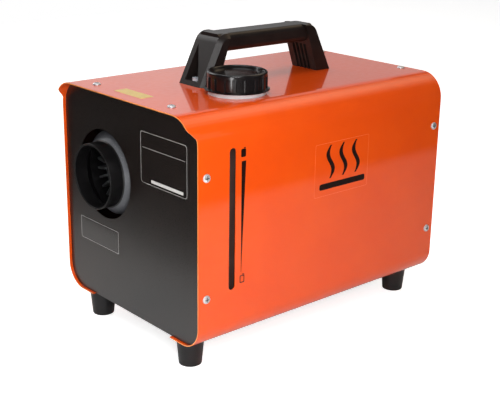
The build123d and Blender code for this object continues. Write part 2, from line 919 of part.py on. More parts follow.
# Heat exchanger: one aluminium casting of closed bell, fins, rear flange and mounting foot
stud_spots = [
    (foot_block_x + side * stud_spacing_x / 2, heater_y + step * stud_spacing_y / 2)
    for side in (-1, 1)
    for step in (-1, 1)
]
port_spots = [(exhaust_port_x, exhaust_port_y), (intake_port_x, intake_port_y)]
fin_inner_radius = exchanger_radius - exchanger_wall / 2
with BuildPart() as heat_exchanger:
    with BuildSketch(heater_section(exchanger_front)):
        with PolarLocations((fin_inner_radius + fin_radius) / 2, fin_count, start_angle=180 / fin_count):
            Rectangle(fin_radius - fin_inner_radius, fin_thickness)
    extrude(amount=exchanger_rear - exchanger_front)
    with BuildSketch(heater_section(exchanger_front + exchanger_nose)):
        Circle(exchanger_radius)
    extrude(amount=exchanger_rear - exchanger_front - exchanger_nose)
    with BuildSketch(heater_section(exchanger_rear - exchanger_flange)):
        Circle(exchanger_flange_radius)
    extrude(amount=exchanger_flange)
    with BuildSketch(above(foot_block_bottom, foot_block_x, heater_y)):
        Rectangle(foot_block_length, foot_block_width)
    extrude(amount=heater_z - foot_block_bottom - exchanger_radius + exchanger_wall)
    with BuildSketch(above(heater_z, glow_plug_x, heater_y)):
        Circle(glow_boss_radius)
    extrude(amount=fin_radius)
    with BuildSketch(above(foot_block_bottom)):
        with Locations(*port_spots):
            Circle(port_radius)
    extrude(amount=-port_length)
    with BuildSketch(above(foot_block_bottom)):
        with Locations((fuel_port_x, fuel_port_y)):
            Circle(nipple_radius)
    extrude(amount=-port_length / 2)
    with BuildSketch(heater_section(exchanger_front + exchanger_nose + exchanger_wall)):
        Circle(exchanger_radius - exchanger_wall)
    extrude(amount=exchanger_rear - exchanger_front, mode=Mode.SUBTRACT)
    with BuildSketch(above(foot_block_bottom + port_drill_depth)):
        with Locations(*port_spots):
            Circle(port_radius - port_wall)
    extrude(amount=-port_drill_depth - port_length - overrun, mode=Mode.SUBTRACT)
    with BuildSketch(above(foot_block_bottom)):
        with Locations(*stud_spots):
            Circle(stud_radius + shaft_clearance)
    extrude(amount=stud_length / 2, mode=Mode.SUBTRACT)
    with BuildSketch(above(heater_z, glow_plug_x, heater_y)):
        Circle(glow_plug_radius + shaft_clearance)
    extrude(amount=fin_radius + overrun, mode=Mode.SUBTRACT)
heat_exchanger.part.label = "heat_exchanger"
export_step(heat_exchanger.part, "parts/heat_exchanger.step")

# Burner tube: perforated combustion chamber, its flange against the blower
with BuildPart() as burner_tube:
    with BuildSketch(heater_section(exchanger_rear - burner_length)):
        Circle(burner_radius)
    extrude(amount=burner_length)
    with BuildSketch(heater_section(exchanger_rear - burner_flange)):
        Circle(burner_flange_radius)
    extrude(amount=burner_flange)
    with BuildSketch(heater_section(exchanger_rear - burner_length)):
        Circle(burner_radius - burner_wall)
    extrude(amount=burner_length, mode=Mode.SUBTRACT)
    for row in range(burner_hole_rows):
        row_x = exchanger_rear - burner_row_start - row * burner_row_pitch
        for turn in range(burner_holes_round // 2):
            angle = radians(turn * 360 / burner_holes_round)
            with BuildSketch(Plane(
                (case_x + row_x, heater_y, case_bottom + heater_z),
                x_dir=(1, 0, 0),
                z_dir=(0, cos(angle), sin(angle)),
            )):
                Circle(burner_hole_radius)
            extrude(amount=burner_radius + overrun, both=True, mode=Mode.SUBTRACT)
    with BuildSketch(above(heater_z, glow_plug_x, heater_y)):
        Circle(glow_plug_tip_radius + fit_gap)
    extrude(amount=burner_radius + overrun, mode=Mode.SUBTRACT)
burner_tube.part.label = "burner_tube"
export_step(burner_tube.part, "parts/burner_tube.step")

# Glow plug: upright in the exchanger's boss, its tip inside the burner
glow_boss_top = heater_z + fin_radius
with BuildPart() as glow_plug:
    with BuildSketch(above(heater_z + burner_radius - glow_plug_tip, glow_plug_x, heater_y)):
        Circle(glow_plug_tip_radius)
    extrude(amount=glow_plug_tip + exchanger_radius - exchanger_wall - burner_radius)
    with BuildSketch(above(heater_z + exchanger_radius - exchanger_wall, glow_plug_x, heater_y)):
        Circle(glow_plug_radius)
    extrude(amount=glow_boss_top - heater_z - exchanger_radius + exchanger_wall)
    with BuildSketch(above(glow_boss_top, glow_plug_x, heater_y)):
        RegularPolygon(glow_plug_hex, 6)
    extrude(amount=glow_plug_radius)
glow_plug.part.label = "glow_plug"
export_step(glow_plug.part, "parts/glow_plug.step")

# Overheat sensor: a saddle block on the fins
with BuildPart() as overheat_sensor:
    with BuildSketch(above(heater_z + fin_radius - fin_thickness, sensor_x, heater_y)):
        Rectangle(sensor_length, sensor_width)
    extrude(amount=sensor_height + fin_thickness)
    with BuildSketch(heater_section(sensor_x - sensor_length)):
        Circle(fin_radius + fit_gap / 2)
    extrude(amount=2 * sensor_length, mode=Mode.SUBTRACT)
overheat_sensor.part.label = "overheat_sensor"
export_step(overheat_sensor.part, "parts/overheat_sensor.step")

# Blower casting: round chamber for the combustion air fan, closed towards the motor
blower_rear = exchanger_rear + blower_length
with BuildPart() as blower_casting:
    with BuildSketch(heater_section(exchanger_rear)):
        Circle(blower_radius)
    extrude(amount=blower_length)
    with BuildSketch(heater_section(exchanger_rear + blower_wall)):
        Circle(blower_radius - blower_wall)
    extrude(amount=blower_length - 2 * blower_wall, mode=Mode.SUBTRACT)
    with BuildSketch(heater_section(exchanger_rear)):
        Circle(2 * bearing_radius)
    extrude(amount=blower_wall, mode=Mode.SUBTRACT)
    with BuildSketch(heater_section(blower_rear - blower_wall)):
        Circle(shaft_radius + fit_gap)
    extrude(amount=blower_wall, mode=Mode.SUBTRACT)
blower_casting.part.label = "blower_casting"
export_step(blower_casting.part, "parts/blower_casting.step")

# Motor can with a bearing seat at each end
motor_front = blower_rear
motor_rear = motor_front + motor_length
with BuildPart() as motor_can:
    with BuildSketch(heater_section(motor_front)):
        Circle(motor_radius)
    extrude(amount=motor_length)
    with BuildSketch(heater_section(motor_front + bearing_width)):
        Circle(motor_radius - motor_wall)
    extrude(amount=motor_length - 2 * bearing_width, mode=Mode.SUBTRACT)
    with BuildSketch(heater_section(motor_front)):
        Circle(bearing_radius)
    extrude(amount=motor_length, mode=Mode.SUBTRACT)
motor_can.part.label = "motor_can"
export_step(motor_can.part, "parts/motor_can.step")

with BuildPart() as motor_bearings:
    for start in (motor_front, motor_rear - bearing_width):
        with BuildSketch(heater_section(start)):
            Circle(bearing_radius - shaft_clearance)
            Circle(shaft_radius + shaft_clearance, mode=Mode.SUBTRACT)
        extrude(amount=bearing_width)
motor_bearings.part.label = "motor_bearings"
export_step(motor_bearings.part, "parts/motor_bearings.step")

armature_start = motor_front + (motor_length - armature_length) / 2
magnet_radius = motor_radius - motor_wall - fit_gap
with BuildPart() as motor_magnets:
    with BuildSketch(heater_section(armature_start)):
        for start in [turn - magnet_span / 2 for turn in magnet_turns]:
            with BuildLine():
                outer_arc = CenterArc((0, 0), magnet_radius, start, magnet_span)
                inner_arc = CenterArc((0, 0), magnet_radius - magnet_thickness, start, magnet_span)
                Line(outer_arc @ 0, inner_arc @ 0)
                Line(outer_arc @ 1, inner_arc @ 1)
            make_face()
    extrude(amount=armature_length)
motor_magnets.part.label = "motor_magnets"
export_step(motor_magnets.part, "parts/motor_magnets.step")

# Turning parts: shaft, armature, combustion air fan and hot air fan
shaft_front = exchanger_rear + blower_wall + fan_front_gap
shaft_rear = fan_start + fan_length
with BuildPart() as motor_shaft:
    with BuildSketch(heater_section(shaft_front)):
        Circle(shaft_radius)
    extrude(amount=shaft_rear - shaft_front)
motor_shaft.part.label = "motor_shaft"
export_step(motor_shaft.part, "parts/motor_shaft.step")

armature_radius = magnet_radius - magnet_thickness - armature_gap
with BuildPart() as armature:
    with BuildSketch(heater_section(armature_start)):
        Circle(armature_radius)
        with PolarLocations(armature_radius, armature_slots):
            Rectangle(armature_radius, armature_slot_width, mode=Mode.SUBTRACT)
        Circle(shaft_radius + shaft_clearance, mode=Mode.SUBTRACT)
    extrude(amount=armature_length)
armature.part.label = "armature"
export_step(armature.part, "parts/armature.step")

with BuildPart() as combustion_fan:
    with BuildSketch(heater_section(shaft_front)):
        Circle(combustion_fan_radius)
        Circle(shaft_radius + shaft_clearance, mode=Mode.SUBTRACT)
    extrude(amount=combustion_fan_disc)
    with BuildSketch(heater_section(shaft_front + combustion_fan_disc)):
        with PolarLocations(combustion_fan_radius * vane_centre_share, combustion_vane_count):
            Rectangle(
                combustion_fan_radius * vane_length_share,
                combustion_vane_thickness,
                rotation=combustion_vane_lean,
            )
        Circle(combustion_hub_radius)
        Circle(shaft_radius + shaft_clearance, mode=Mode.SUBTRACT)
    extrude(amount=combustion_fan_vane)
combustion_fan.part.label = "combustion_fan"
export_step(combustion_fan.part, "parts/combustion_fan.step")


def fan_blade():
    """Twisted blade: thin sections at root and tip, the root at the steeper pitch."""
    middle = fan_start + fan_length / 2
    sections = (
        (fan_blade_root, fan_root_chord, fan_root_pitch),
        (fan_radius, fan_tip_chord, fan_tip_pitch),
    )
    with BuildPart() as blade:
        for radius, chord, pitch in sections:
            with BuildSketch(above(heater_z + radius, middle, heater_y)):
                Rectangle(chord, fan_blade_thickness, rotation=90 - pitch)
        loft(ruled=True)
    return blade.part


blade = fan_blade()
with BuildPart() as hot_air_fan:
    with BuildSketch(heater_section(fan_start)):
        Circle(fan_hub_radius)
    extrude(amount=fan_length)
    for turn in range(fan_blade_count):
        add(blade.rotate(heater_axis, turn * 360 / fan_blade_count))
    with BuildSketch(heater_section(fan_start)):
        Circle(shaft_radius + shaft_clearance)
    extrude(amount=fan_length, mode=Mode.SUBTRACT)
hot_air_fan.part.label = "hot_air_fan"
export_step(hot_air_fan.part, "parts/hot_air_fan.step")

# Inlet grille in the rear end of the jacket: rings on four spokes
grille_hole = grille_radius - jacket_wall
with BuildPart() as inlet_grille:
    with BuildSketch(heater_section(jacket_rear - jacket_wall)):
        Circle(grille_hole)
        Circle(grille_hole - grille_bar, mode=Mode.SUBTRACT)
        for ring in (3, 2, 1):
            ring_radius = ring * guard_ring_pitch
            Circle(ring_radius + grille_bar / 2)
            Circle(ring_radius - grille_bar / 2, mode=Mode.SUBTRACT)
        with PolarLocations((grille_hole - grille_bar / 2) / 2, 4, start_angle=45):
            Rectangle(grille_hole - grille_bar / 2, grille_bar)
    extrude(amount=jacket_wall + grille_thickness)
    with BuildSketch(heater_section(jacket_rear)):
        Circle(grille_radius + grille_bar)
        Circle(grille_hole - grille_bar / 2, mode=Mode.SUBTRACT)
    extrude(amount=grille_thickness)
inlet_grille.part.label = "inlet_grille"
export_step(inlet_grille.part, "parts/inlet_grille.step")

# Control unit: electronics box saddled on the motor
with BuildPart() as control_unit:
    with BuildSketch(above(heater_z + control_box_base, motor_front + motor_length / 2, heater_y)):
        RectangleRounded(control_box_length, control_box_width, control_box_corner)
    extrude(amount=control_box_height)
    with BuildSketch(heater_section(motor_front)):
        Circle(motor_radius + fit_gap)
    extrude(amount=motor_length, mode=Mode.SUBTRACT)
control_unit.part.label = "control_unit"
export_step(control_unit.part, "parts/control_unit.step")

# Gasket under the exchanger's foot
with BuildPart() as mount_gasket:
    with BuildSketch(above(foot_block_bottom - gasket_thickness)):
        with Locations((foot_block_x, heater_y)):
            Rectangle(foot_block_length, foot_block_width)
        with Locations(*port_spots):
            Circle(port_radius + fit_gap, mode=Mode.SUBTRACT)
        with Locations(*stud_spots):
            Circle(stud_radius + fit_gap, mode=Mode.SUBTRACT)
        with Locations((fuel_port_x, fuel_port_y)):
            Circle(nipple_radius + fit_gap, mode=Mode.SUBTRACT)
    extrude(amount=gasket_thickness)
mount_gasket.part.label = "mount_gasket"
export_step(mount_gasket.part, "parts/mount_gasket.step")

# Heater bracket: bridge from the tray, holed for ports, studs and the fuel line
bracket_top = foot_block_bottom - gasket_thickness
bracket_side = heater_y - bracket_width / 2
with BuildPart() as heater_bracket:
    with BuildSketch(across(foot_block_x - bracket_length / 2, heater_y)) as bridge:
        with Locations((0, (bracket_top + tray_top) / 2)):
            Rectangle(bracket_width, bracket_top - tray_top)
        with Locations((0, (bracket_top + tray_top) / 2)):
            Rectangle(
                bracket_width - 2 * bracket_thickness,
                bracket_top - tray_top - 2 * bracket_thickness,
                mode=Mode.SUBTRACT,
            )
        with Locations((0, tray_top)):
            Rectangle(bracket_width - 2 * bracket_foot, 4 * bracket_thickness, mode=Mode.SUBTRACT)
    extrude(amount=bracket_length)
    with BuildSketch(above(bracket_top)):
        with Locations(*port_spots):
            Circle(port_radius + pipe_wall + 3 * fit_gap)
        with Locations(*stud_spots):
            Circle(stud_radius + fit_gap)
        with Locations((fuel_port_x, fuel_port_y)):
            Circle(nipple_radius + hose_wall + fit_gap)
    extrude(amount=overrun, both=True, mode=Mode.SUBTRACT)
    with BuildSketch(along(bracket_side, fuel_port_x, fuel_line_z)):
        Circle(nipple_radius + hose_wall + 2 * fit_gap)
    extrude(amount=overrun, both=True, mode=Mode.SUBTRACT)
heater_bracket.part.label = "heater_bracket"
export_step(heater_bracket.part, "parts/heater_bracket.step")

with BuildPart() as heater_studs:
    with BuildSketch(above(foot_block_bottom + stud_length / 2 - fit_gap)):
        with Locations(*stud_spots):
            Circle(stud_radius)
    extrude(amount=-stud_length)
heater_studs.part.label = "heater_studs"
export_step(heater_studs.part, "parts/heater_studs.step")

# Lock nuts: on the foot bolts, under the top for the handle and on the heater studs
lock_nut = hex_nut()
foot_nut_planes = [above(tray_top, x, y) for x, y in foot_spots]
handle_nut_planes = [
    above(case_height - sheet - nut_height, handle_x + side * handle_bolt_x, handle_y)
    for side in (-1, 1)
]
stud_nut_planes = [above(bracket_top - bracket_thickness - nut_height, x, y) for x, y in stud_spots]
with BuildPart() as lock_nuts:
    with Locations(*foot_nut_planes, *handle_nut_planes, *stud_nut_planes):
        add(lock_nut)
lock_nuts.part.label = "lock_nuts"
export_step(lock_nuts.part, "parts/lock_nuts.step")


def bent_tube(points, bends, outer, inner):
    """Tube along straight runs joined by tangent arcs."""
    with BuildPart() as tube:
        with BuildLine():
            route = FilletPolyline(*points, radius=bends)
        with BuildSketch(Plane(route @ 0, z_dir=route % 0)):
            Circle(outer)
            if inner:
                Circle(inner, mode=Mode.SUBTRACT)
        sweep()
    return tube.part


def place(x, y, z):
    return (case_x + x, y, case_bottom + z)


# Exhaust pipe: from the foot's port down, then back and out through the rear panel
port_end_z = foot_block_bottom - port_length
pipe_inner = port_radius + fit_gap / 3
pipe_outer = port_radius + fit_gap / 3 + pipe_wall
pipe_top = bracket_top - bracket_thickness - nut_height
exhaust_pipe = bent_tube(
    [
        place(exhaust_port_x, exhaust_port_y, pipe_top),
        place(exhaust_port_x, exhaust_port_y, exhaust_run_z),
        place(rear_plate_x, exhaust_port_y, exhaust_run_z),
    ],
    pipe_bend_radius,
    pipe_outer,
    pipe_inner,
)
exhaust_pipe.label = "exhaust_pipe"
export_step(exhaust_pipe, "parts/exhaust_pipe.step")

# Exhaust outlet: flange riveted to the rear panel over the pipe's end, with a stub for the hose
rivet_turns = (90, 210, 330)
flange_face = rear_plate_x + exhaust_flange_thickness
with BuildPart() as exhaust_outlet:
    with BuildSketch(across(rear_plate_x, exhaust_port_y, exhaust_run_z)):
        Circle(exhaust_flange_radius)
    extrude(amount=exhaust_flange_thickness)
    with BuildSketch(across(flange_face, exhaust_port_y, exhaust_run_z)):
        with Locations(*[
            (rivet_circle * cos(radians(turn)), rivet_circle * sin(radians(turn))) for turn in rivet_turns
        ]):
            Circle(rivet_radius)
    extrude(amount=rivet_radius / 2)
    with BuildSketch(across(flange_face, exhaust_port_y, exhaust_run_z)):
        Circle(exhaust_stub_radius)
    extrude(amount=exhaust_stub - exhaust_flange_thickness)
    with BuildSketch(across(rear_plate_x, exhaust_port_y, exhaust_run_z)):
        Circle(exhaust_stub_radius - pipe_wall)
    extrude(amount=exhaust_stub, mode=Mode.SUBTRACT)
exhaust_outlet.part.label = "exhaust_outlet"
export_step(exhaust_outlet.part, "parts/exhaust_outlet.step")


def band_clamp(x, y, z):
    """Worm drive band round an upright pipe, its screw across one side."""
    with BuildPart() as band:
        with BuildSketch(above(z, x, y)):
            Circle(pipe_outer + fit_gap / 3 + clamp_thickness)
            Circle(pipe_outer + fit_gap / 3, mode=Mode.SUBTRACT)
        extrude(amount=clamp_width)
        screw_y = pipe_outer + fit_gap / 3 + clamp_thickness + clamp_screw_radius / 2
        with BuildSketch(across(x - clamp_screw_length / 2, y + screw_y, z + clamp_width / 2)):
            Circle(clamp_screw_radius)
        extrude(amount=clamp_screw_length)
        with BuildSketch(above(z - overrun, x, y)):
            Circle(pipe_outer + fit_gap / 3)
        extrude(amount=clamp_width + 2 * overrun, mode=Mode.SUBTRACT)
    return band.part


clamp_z = port_end_z + fit_gap
pipe_clamps = [band_clamp(x, y, clamp_z) for x, y in port_spots]
with BuildPart() as hose_clamps:
    for pipe_clamp in pipe_clamps:
        add(pipe_clamp)
hose_clamps.part.label = "hose_clamps"
export_step(hose_clamps.part, "parts/hose_clamps.step")

# Intake pipe: from the foot's other port to the silencer
intake_pipe = bent_tube(
    [
        place(intake_port_x, intake_port_y, pipe_top),
        place(intake_port_x, intake_port_y, exhaust_run_z),
        place(silencer_start + silencer_socket, intake_port_y, exhaust_run_z),
    ],
    pipe_bend_radius,
    pipe_outer,
    pipe_inner,
)
intake_pipe.label = "intake_pipe"
export_step(intake_pipe, "parts/intake_pipe.step")

# Intake silencer: drum on a moulded foot, open at its rear end
with BuildPart() as intake_silencer:
    with BuildSketch(across(silencer_start, intake_port_y, exhaust_run_z)):
        Circle(silencer_radius)
    extrude(amount=silencer_length)
    chamfer(intake_silencer.edges().filter_by(GeomType.CIRCLE), length=silencer_chamfer)
    with BuildSketch(above(tray_top, silencer_start + silencer_length / 2, intake_port_y)):
        Rectangle(silencer_foot_length, silencer_foot_width)
    extrude(amount=exhaust_run_z - tray_top - silencer_radius + silencer_wall)
    with BuildSketch(across(silencer_start, intake_port_y, exhaust_run_z)):
        Circle(pipe_outer + fit_gap / 3)
    extrude(amount=silencer_socket + silencer_wall, mode=Mode.SUBTRACT)
    with BuildSketch(across(silencer_start + silencer_socket + silencer_wall, intake_port_y, exhaust_run_z)):
        Circle(silencer_radius - silencer_wall)
    extrude(amount=silencer_length - silencer_socket - 3 * silencer_wall, mode=Mode.SUBTRACT)
    with BuildSketch(across(silencer_start + silencer_length, intake_port_y, exhaust_run_z)):
        Circle(silencer_mouth_radius)
    extrude(amount=-3 * silencer_wall, mode=Mode.SUBTRACT)
intake_silencer.part.label = "intake_silencer"
export_step(intake_silencer.part, "parts/intake_silencer.step")

# Dosing pump: bored body with a nose and nipple at each end, in a clip on the tray
pump_front = pump_x - pump_length / 2
pump_rear = pump_x + pump_length / 2


def pump_section(x):
    return across(x, pump_y, pump_z)


with BuildPart() as dosing_pump:
    with BuildSketch(pump_section(pump_front)):
        Circle(pump_radius)
    extrude(amount=pump_length)
    chamfer(dosing_pump.edges().filter_by(GeomType.CIRCLE), length=pump_wall / 2)
    with BuildSketch(pump_section(pump_front - pump_nose_length)):
        Circle(pump_nose_radius)
    extrude(amount=pump_nose_length)
    with BuildSketch(pump_section(pump_front - pump_nose_length - nipple_length)):
        Circle(nipple_radius)
    extrude(amount=pump_length + pump_nose_length + 2 * nipple_length)
    with BuildSketch(pump_section(pump_front + pump_wall)):
        Circle(pump_bore_radius)
    extrude(amount=pump_length - 2 * pump_wall, mode=Mode.SUBTRACT)
    with BuildSketch(pump_section(pump_front - pump_nose_length - nipple_length)):
        Circle(nipple_bore)
    extrude(amount=pump_length + pump_nose_length + 2 * nipple_length, mode=Mode.SUBTRACT)
dosing_pump.part.label = "dosing_pump"
export_step(dosing_pump.part, "parts/dosing_pump.step")

# Pump plunger: grooved piston with a cross passage, sliding in the bore
plunger_start = pump_rear - pump_wall - plunger_length - plunger_clearance
with BuildPart() as pump_plunger:
    with BuildSketch(pump_section(plunger_start)):
        Circle(pump_bore_radius - plunger_clearance)
        Circle(nipple_bore, mode=Mode.SUBTRACT)
    extrude(amount=plunger_length)
    with BuildSketch(pump_section(plunger_start + plunger_length / 3)):
        Circle(pump_bore_radius)
        Circle(pump_bore_radius - 2 * nipple_bore / 3, mode=Mode.SUBTRACT)
    extrude(amount=plunger_length / 3, mode=Mode.SUBTRACT)
pump_plunger.part.label = "pump_plunger"
export_step(pump_plunger.part, "parts/pump_plunger.step")

# Pump clip: rubber lined ring on a foot
with BuildPart() as pump_clip:
    with BuildSketch(pump_section(pump_x - clip_width / 2)):
        Circle(pump_radius + clip_thickness)
        with Locations((0, -(pump_z - tray_top) / 2)):
            Rectangle(pump_radius, pump_z - tray_top)
        Circle(pump_radius, mode=Mode.SUBTRACT)
    extrude(amount=clip_width)
    with BuildSketch(above(tray_top, pump_x, pump_y)):
        Rectangle(clip_width, 3 * pump_radius)
    extrude(amount=bracket_thickness)
pump_clip.part.label = "pump_clip"
export_step(pump_clip.part, "parts/pump_clip.step")

# Fuel filter: clear canister on the line between the tank and the pump
filter_front = filter_x - filter_length / 2
filter_rear = filter_x + filter_length / 2
with BuildPart() as fuel_filter:
    with BuildSketch(across(filter_front, filter_y, pump_z)):
        Circle(filter_radius)
    extrude(amount=filter_length)
    chamfer(fuel_filter.edges().filter_by(GeomType.CIRCLE), length=pump_wall)
    with BuildSketch(across(filter_front - nipple_length, filter_y, pump_z)):
        Circle(nipple_radius)
    extrude(amount=filter_length + 2 * nipple_length)
    with BuildSketch(across(filter_front - nipple_length, filter_y, pump_z)):
        Circle(nipple_bore)
    extrude(amount=filter_length + 2 * nipple_length, mode=Mode.SUBTRACT)
fuel_filter.part.label = "fuel_filter"
export_step(fuel_filter.part, "parts/fuel_filter.step")

# Suction hoses: tank to filter, and filter round to the rear of the pump
hose_inner = nipple_radius + shaft_clearance
hose_outer = nipple_radius + hose_wall
tank_hose_start = tank_rear + nipple_length - hose_overlap
with BuildPart() as tank_hose:
    with BuildSketch(across(tank_hose_start, filter_y, pump_z)):
        Circle(hose_outer)
        Circle(hose_inner, mode=Mode.SUBTRACT)
    extrude(amount=filter_front - nipple_length + hose_overlap - tank_hose_start)
tank_hose.part.label = "tank_hose"
export_step(tank_hose.part, "parts/tank_hose.step")

hose_turn_x = rear_plate_x - panel_flange - 2 * hose_outer
pump_hose = bent_tube(
    [
        place(filter_rear + nipple_length - hose_overlap, filter_y, pump_z),
        place(hose_turn_x, filter_y, pump_z),
        place(hose_turn_x, pump_y, pump_z),
        place(pump_rear + nipple_length - hose_overlap, pump_y, pump_z),
    ],
    suction_bend,
    hose_outer,
    hose_inner,
)
pump_hose.label = "pump_hose"
export_step(pump_hose, "parts/pump_hose.step")

# Delivery hose: forward beside the tank, then up through the bracket to the burner's fuel port
delivery_hose = bent_tube(
    [
        place(pump_front - pump_nose_length - nipple_length + hose_overlap, pump_y, pump_z),
        place(fuel_port_x, pump_y, pump_z),
        place(fuel_port_x, pump_y, fuel_line_z),
        place(fuel_port_x, fuel_port_y, fuel_line_z),
        place(fuel_port_x, fuel_port_y, foot_block_bottom - port_length / 2 + hose_overlap),
    ],
    delivery_bend,
    hose_outer,
    hose_inner,
)
delivery_hose.label = "delivery_hose"
export_step(delivery_hose, "parts/delivery_hose.step")

# Inlet guard on the rear panel: rings on four spokes with screw ears
with BuildPart() as inlet_guard:
    with BuildSketch(heater_section(rear_plate_x)):
        Circle(guard_radius)
        Circle(guard_radius - 2 * guard_wire, mode=Mode.SUBTRACT)
        for ring in (3, 2, 1):
            ring_radius = ring * guard_ring_pitch
            Circle(ring_radius + guard_wire / 2)
            Circle(ring_radius - guard_wire / 2, mode=Mode.SUBTRACT)
        with PolarLocations((guard_radius - guard_wire) / 2, 4, start_angle=45):
            Rectangle(guard_radius - guard_wire, guard_wire)
        with PolarLocations(guard_screw_circle, 4, start_angle=45):
            Circle(screw_head_radius + guard_wire / 2)
        with PolarLocations(guard_screw_circle, 4, start_angle=45):
            Circle(screw_hole_radius, mode=Mode.SUBTRACT)
    extrude(amount=guard_thickness)
inlet_guard.part.label = "inlet_guard"
export_step(inlet_guard.part, "parts/inlet_guard.step")

# Controller: bezel and body in one moulding, open at the back
body_width = controller_width - 2 * controller_body_margin
body_height = controller_height - 2 * controller_body_margin
bezel_face = rear_plate_x + controller_bezel
button_spots = {
    "button_up": (0, 1),
    "button_down": (0, -1),
    "button_left": (-1, 0),
    "button_right": (1, 0),
    "button_ok": (0, 0),
}


def controller_section(x, y=0, z=0):
    return across(x, controller_y + y, controller_z + z)


with BuildPart() as controller_case:
    with BuildSketch(controller_section(rear_plate_x)):
        RectangleRounded(controller_width, controller_height, controller_corner)
    extrude(amount=controller_bezel)
    chamfer(controller_case.faces().sort_by(Axis.X)[-1].edges(), length=controller_wall / 2)
    with BuildSketch(controller_section(rear_plate_x)):
        Rectangle(body_width, body_height)
    extrude(amount=-controller_depth)
    with BuildSketch(controller_section(bezel_face - controller_wall)):
        Rectangle(body_width - 2 * controller_wall, body_height - 2 * controller_wall)
    extrude(amount=-controller_depth - 2 * controller_bezel, mode=Mode.SUBTRACT)
    with BuildSketch(controller_section(bezel_face - controller_wall, window_y)):
        Rectangle(window_width, window_height)
    extrude(amount=overrun, mode=Mode.SUBTRACT)
    with BuildSketch(controller_section(bezel_face - controller_wall, button_y)):
        with Locations(*[(y * button_pitch, z * button_pitch) for y, z in button_spots.values()]):
            Circle(button_radius + button_gap)
    extrude(amount=overrun, mode=Mode.SUBTRACT)
controller_case.part.label = "controller_case"
export_step(controller_case.part, "parts/controller_case.step")

with BuildPart() as display_window:
    with BuildSketch(controller_section(bezel_face - controller_wall, window_y)):
        Rectangle(window_width - 2 * button_gap, window_height - 2 * button_gap)
    extrude(amount=controller_wall * 0.8)
    with BuildSketch(controller_section(bezel_face - controller_wall, window_y)):
        Rectangle(window_width + 2 * controller_wall, window_height + controller_wall)
    extrude(amount=-controller_wall / 2)
display_window.part.label = "display_window"
export_step(display_window.part, "parts/display_window.step")

# Buttons: each a cap with a flange behind the bezel
button_back = bezel_face - controller_wall - button_flange_height
for name, (step_y, step_z) in button_spots.items():
    with BuildPart() as button:
        with BuildSketch(controller_section(button_back, button_y + step_y * button_pitch, step_z * button_pitch)):
            Circle(button_radius + button_flange)
        extrude(amount=button_flange_height)
        with BuildSketch(controller_section(button_back, button_y + step_y * button_pitch, step_z * button_pitch)):
            Circle(button_radius)
        extrude(amount=button_flange_height + controller_wall + button_rise)
        chamfer(button.edges().filter_by(GeomType.CIRCLE).sort_by(Axis.X)[-1], length=button_gap)
    button.part.label = name
    export_step(button.part, f"parts/{name}.step")

# Circuit board behind the window and the buttons, on the ledge of the case
board_front = button_back - button_travel - fit_gap
with BuildPart() as control_board:
    with BuildSketch(controller_section(board_front - board_thickness)):
        Rectangle(body_width - 2 * controller_wall - fit_gap, body_height - 2 * controller_wall - fit_gap)
    extrude(amount=board_thickness)
    with BuildSketch(controller_section(board_front, window_y)):
        Rectangle(window_width, window_height)
    extrude(amount=bezel_face - 1.5 * controller_wall - board_front - fit_gap)
control_board.part.label = "control_board"
export_step(control_board.part, "parts/control_board.step")

# Small screws of the guard on the rear panel
guard_screw_planes = [
    across(
        rear_plate_x + guard_thickness,
        heater_y + guard_screw_circle * cos(radians(45 + 90 * turn)),
        heater_z + guard_screw_circle * sin(radians(45 + 90 * turn)),
    )
    for turn in range(4)
]
with BuildPart() as guard_screws:
    with Locations(*guard_screw_planes):
        add(small_screw)
guard_screws.part.label = "guard_screws"
export_step(guard_screws.part, "parts/guard_screws.step")

# Power inlet: round two pin socket on the rear panel
with BuildPart() as power_inlet:
    with BuildSketch(across(rear_plate_x, inlet_socket_y, inlet_socket_z)):
        Circle(socket_flange_radius)
    extrude(amount=socket_flange_thickness)
    with BuildSketch(across(rear_plate_x + socket_flange_thickness, inlet_socket_y, inlet_socket_z)):
        Circle(socket_radius)
    extrude(amount=-socket_depth - socket_flange_thickness)
    with BuildSketch(across(rear_plate_x + socket_flange_thickness, inlet_socket_y, inlet_socket_z)):
        Circle(socket_radius - socket_pin_radius)
    extrude(amount=-socket_depth / 2, mode=Mode.SUBTRACT)
    with BuildSketch(across(rear_plate_x - socket_depth / 2, inlet_socket_y, inlet_socket_z)):
        with GridLocations(socket_pin_pitch, 0, 2, 1):
            Circle(socket_pin_radius)
    extrude(amount=socket_depth / 2)
power_inlet.part.label = "power_inlet"
export_step(power_inlet.part, "parts/power_inlet.step")

# Wiring inside the case: controller to control unit, and power inlet to controller
board_back = board_front - board_thickness
control_unit_rear = motor_front + (motor_length + control_box_length) / 2
loom_y = heater_y - control_box_width / 4
wiring_loom = bent_tube(
    [
        place(board_back, controller_y + button_y, controller_z),
        place(loom_entry_x, controller_y + button_y, controller_z),
        place(loom_entry_x, controller_y + button_y, loom_entry_z),
        place(loom_entry_x, loom_y, loom_entry_z),
        place(control_unit_rear, loom_y, loom_entry_z),
    ],
    loom_bend,
    loom_radius,
    None,
)
wiring_loom.label = "wiring_loom"
export_step(wiring_loom, "parts/wiring_loom.step")

power_lead = bent_tube(
    [
        place(rear_plate_x - socket_depth, inlet_socket_y, inlet_socket_z),
        place(lead_x, inlet_socket_y, inlet_socket_z),
        place(lead_x, inlet_socket_y, controller_z),
        place(board_back, inlet_socket_y, controller_z),
    ],
    lead_bend,
    lead_radius,
    None,
)
power_lead.label = "power_lead"
export_step(power_lead, "parts/power_lead.step")
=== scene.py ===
import math

import bmesh
import bpy
from mathutils import Matrix, Vector


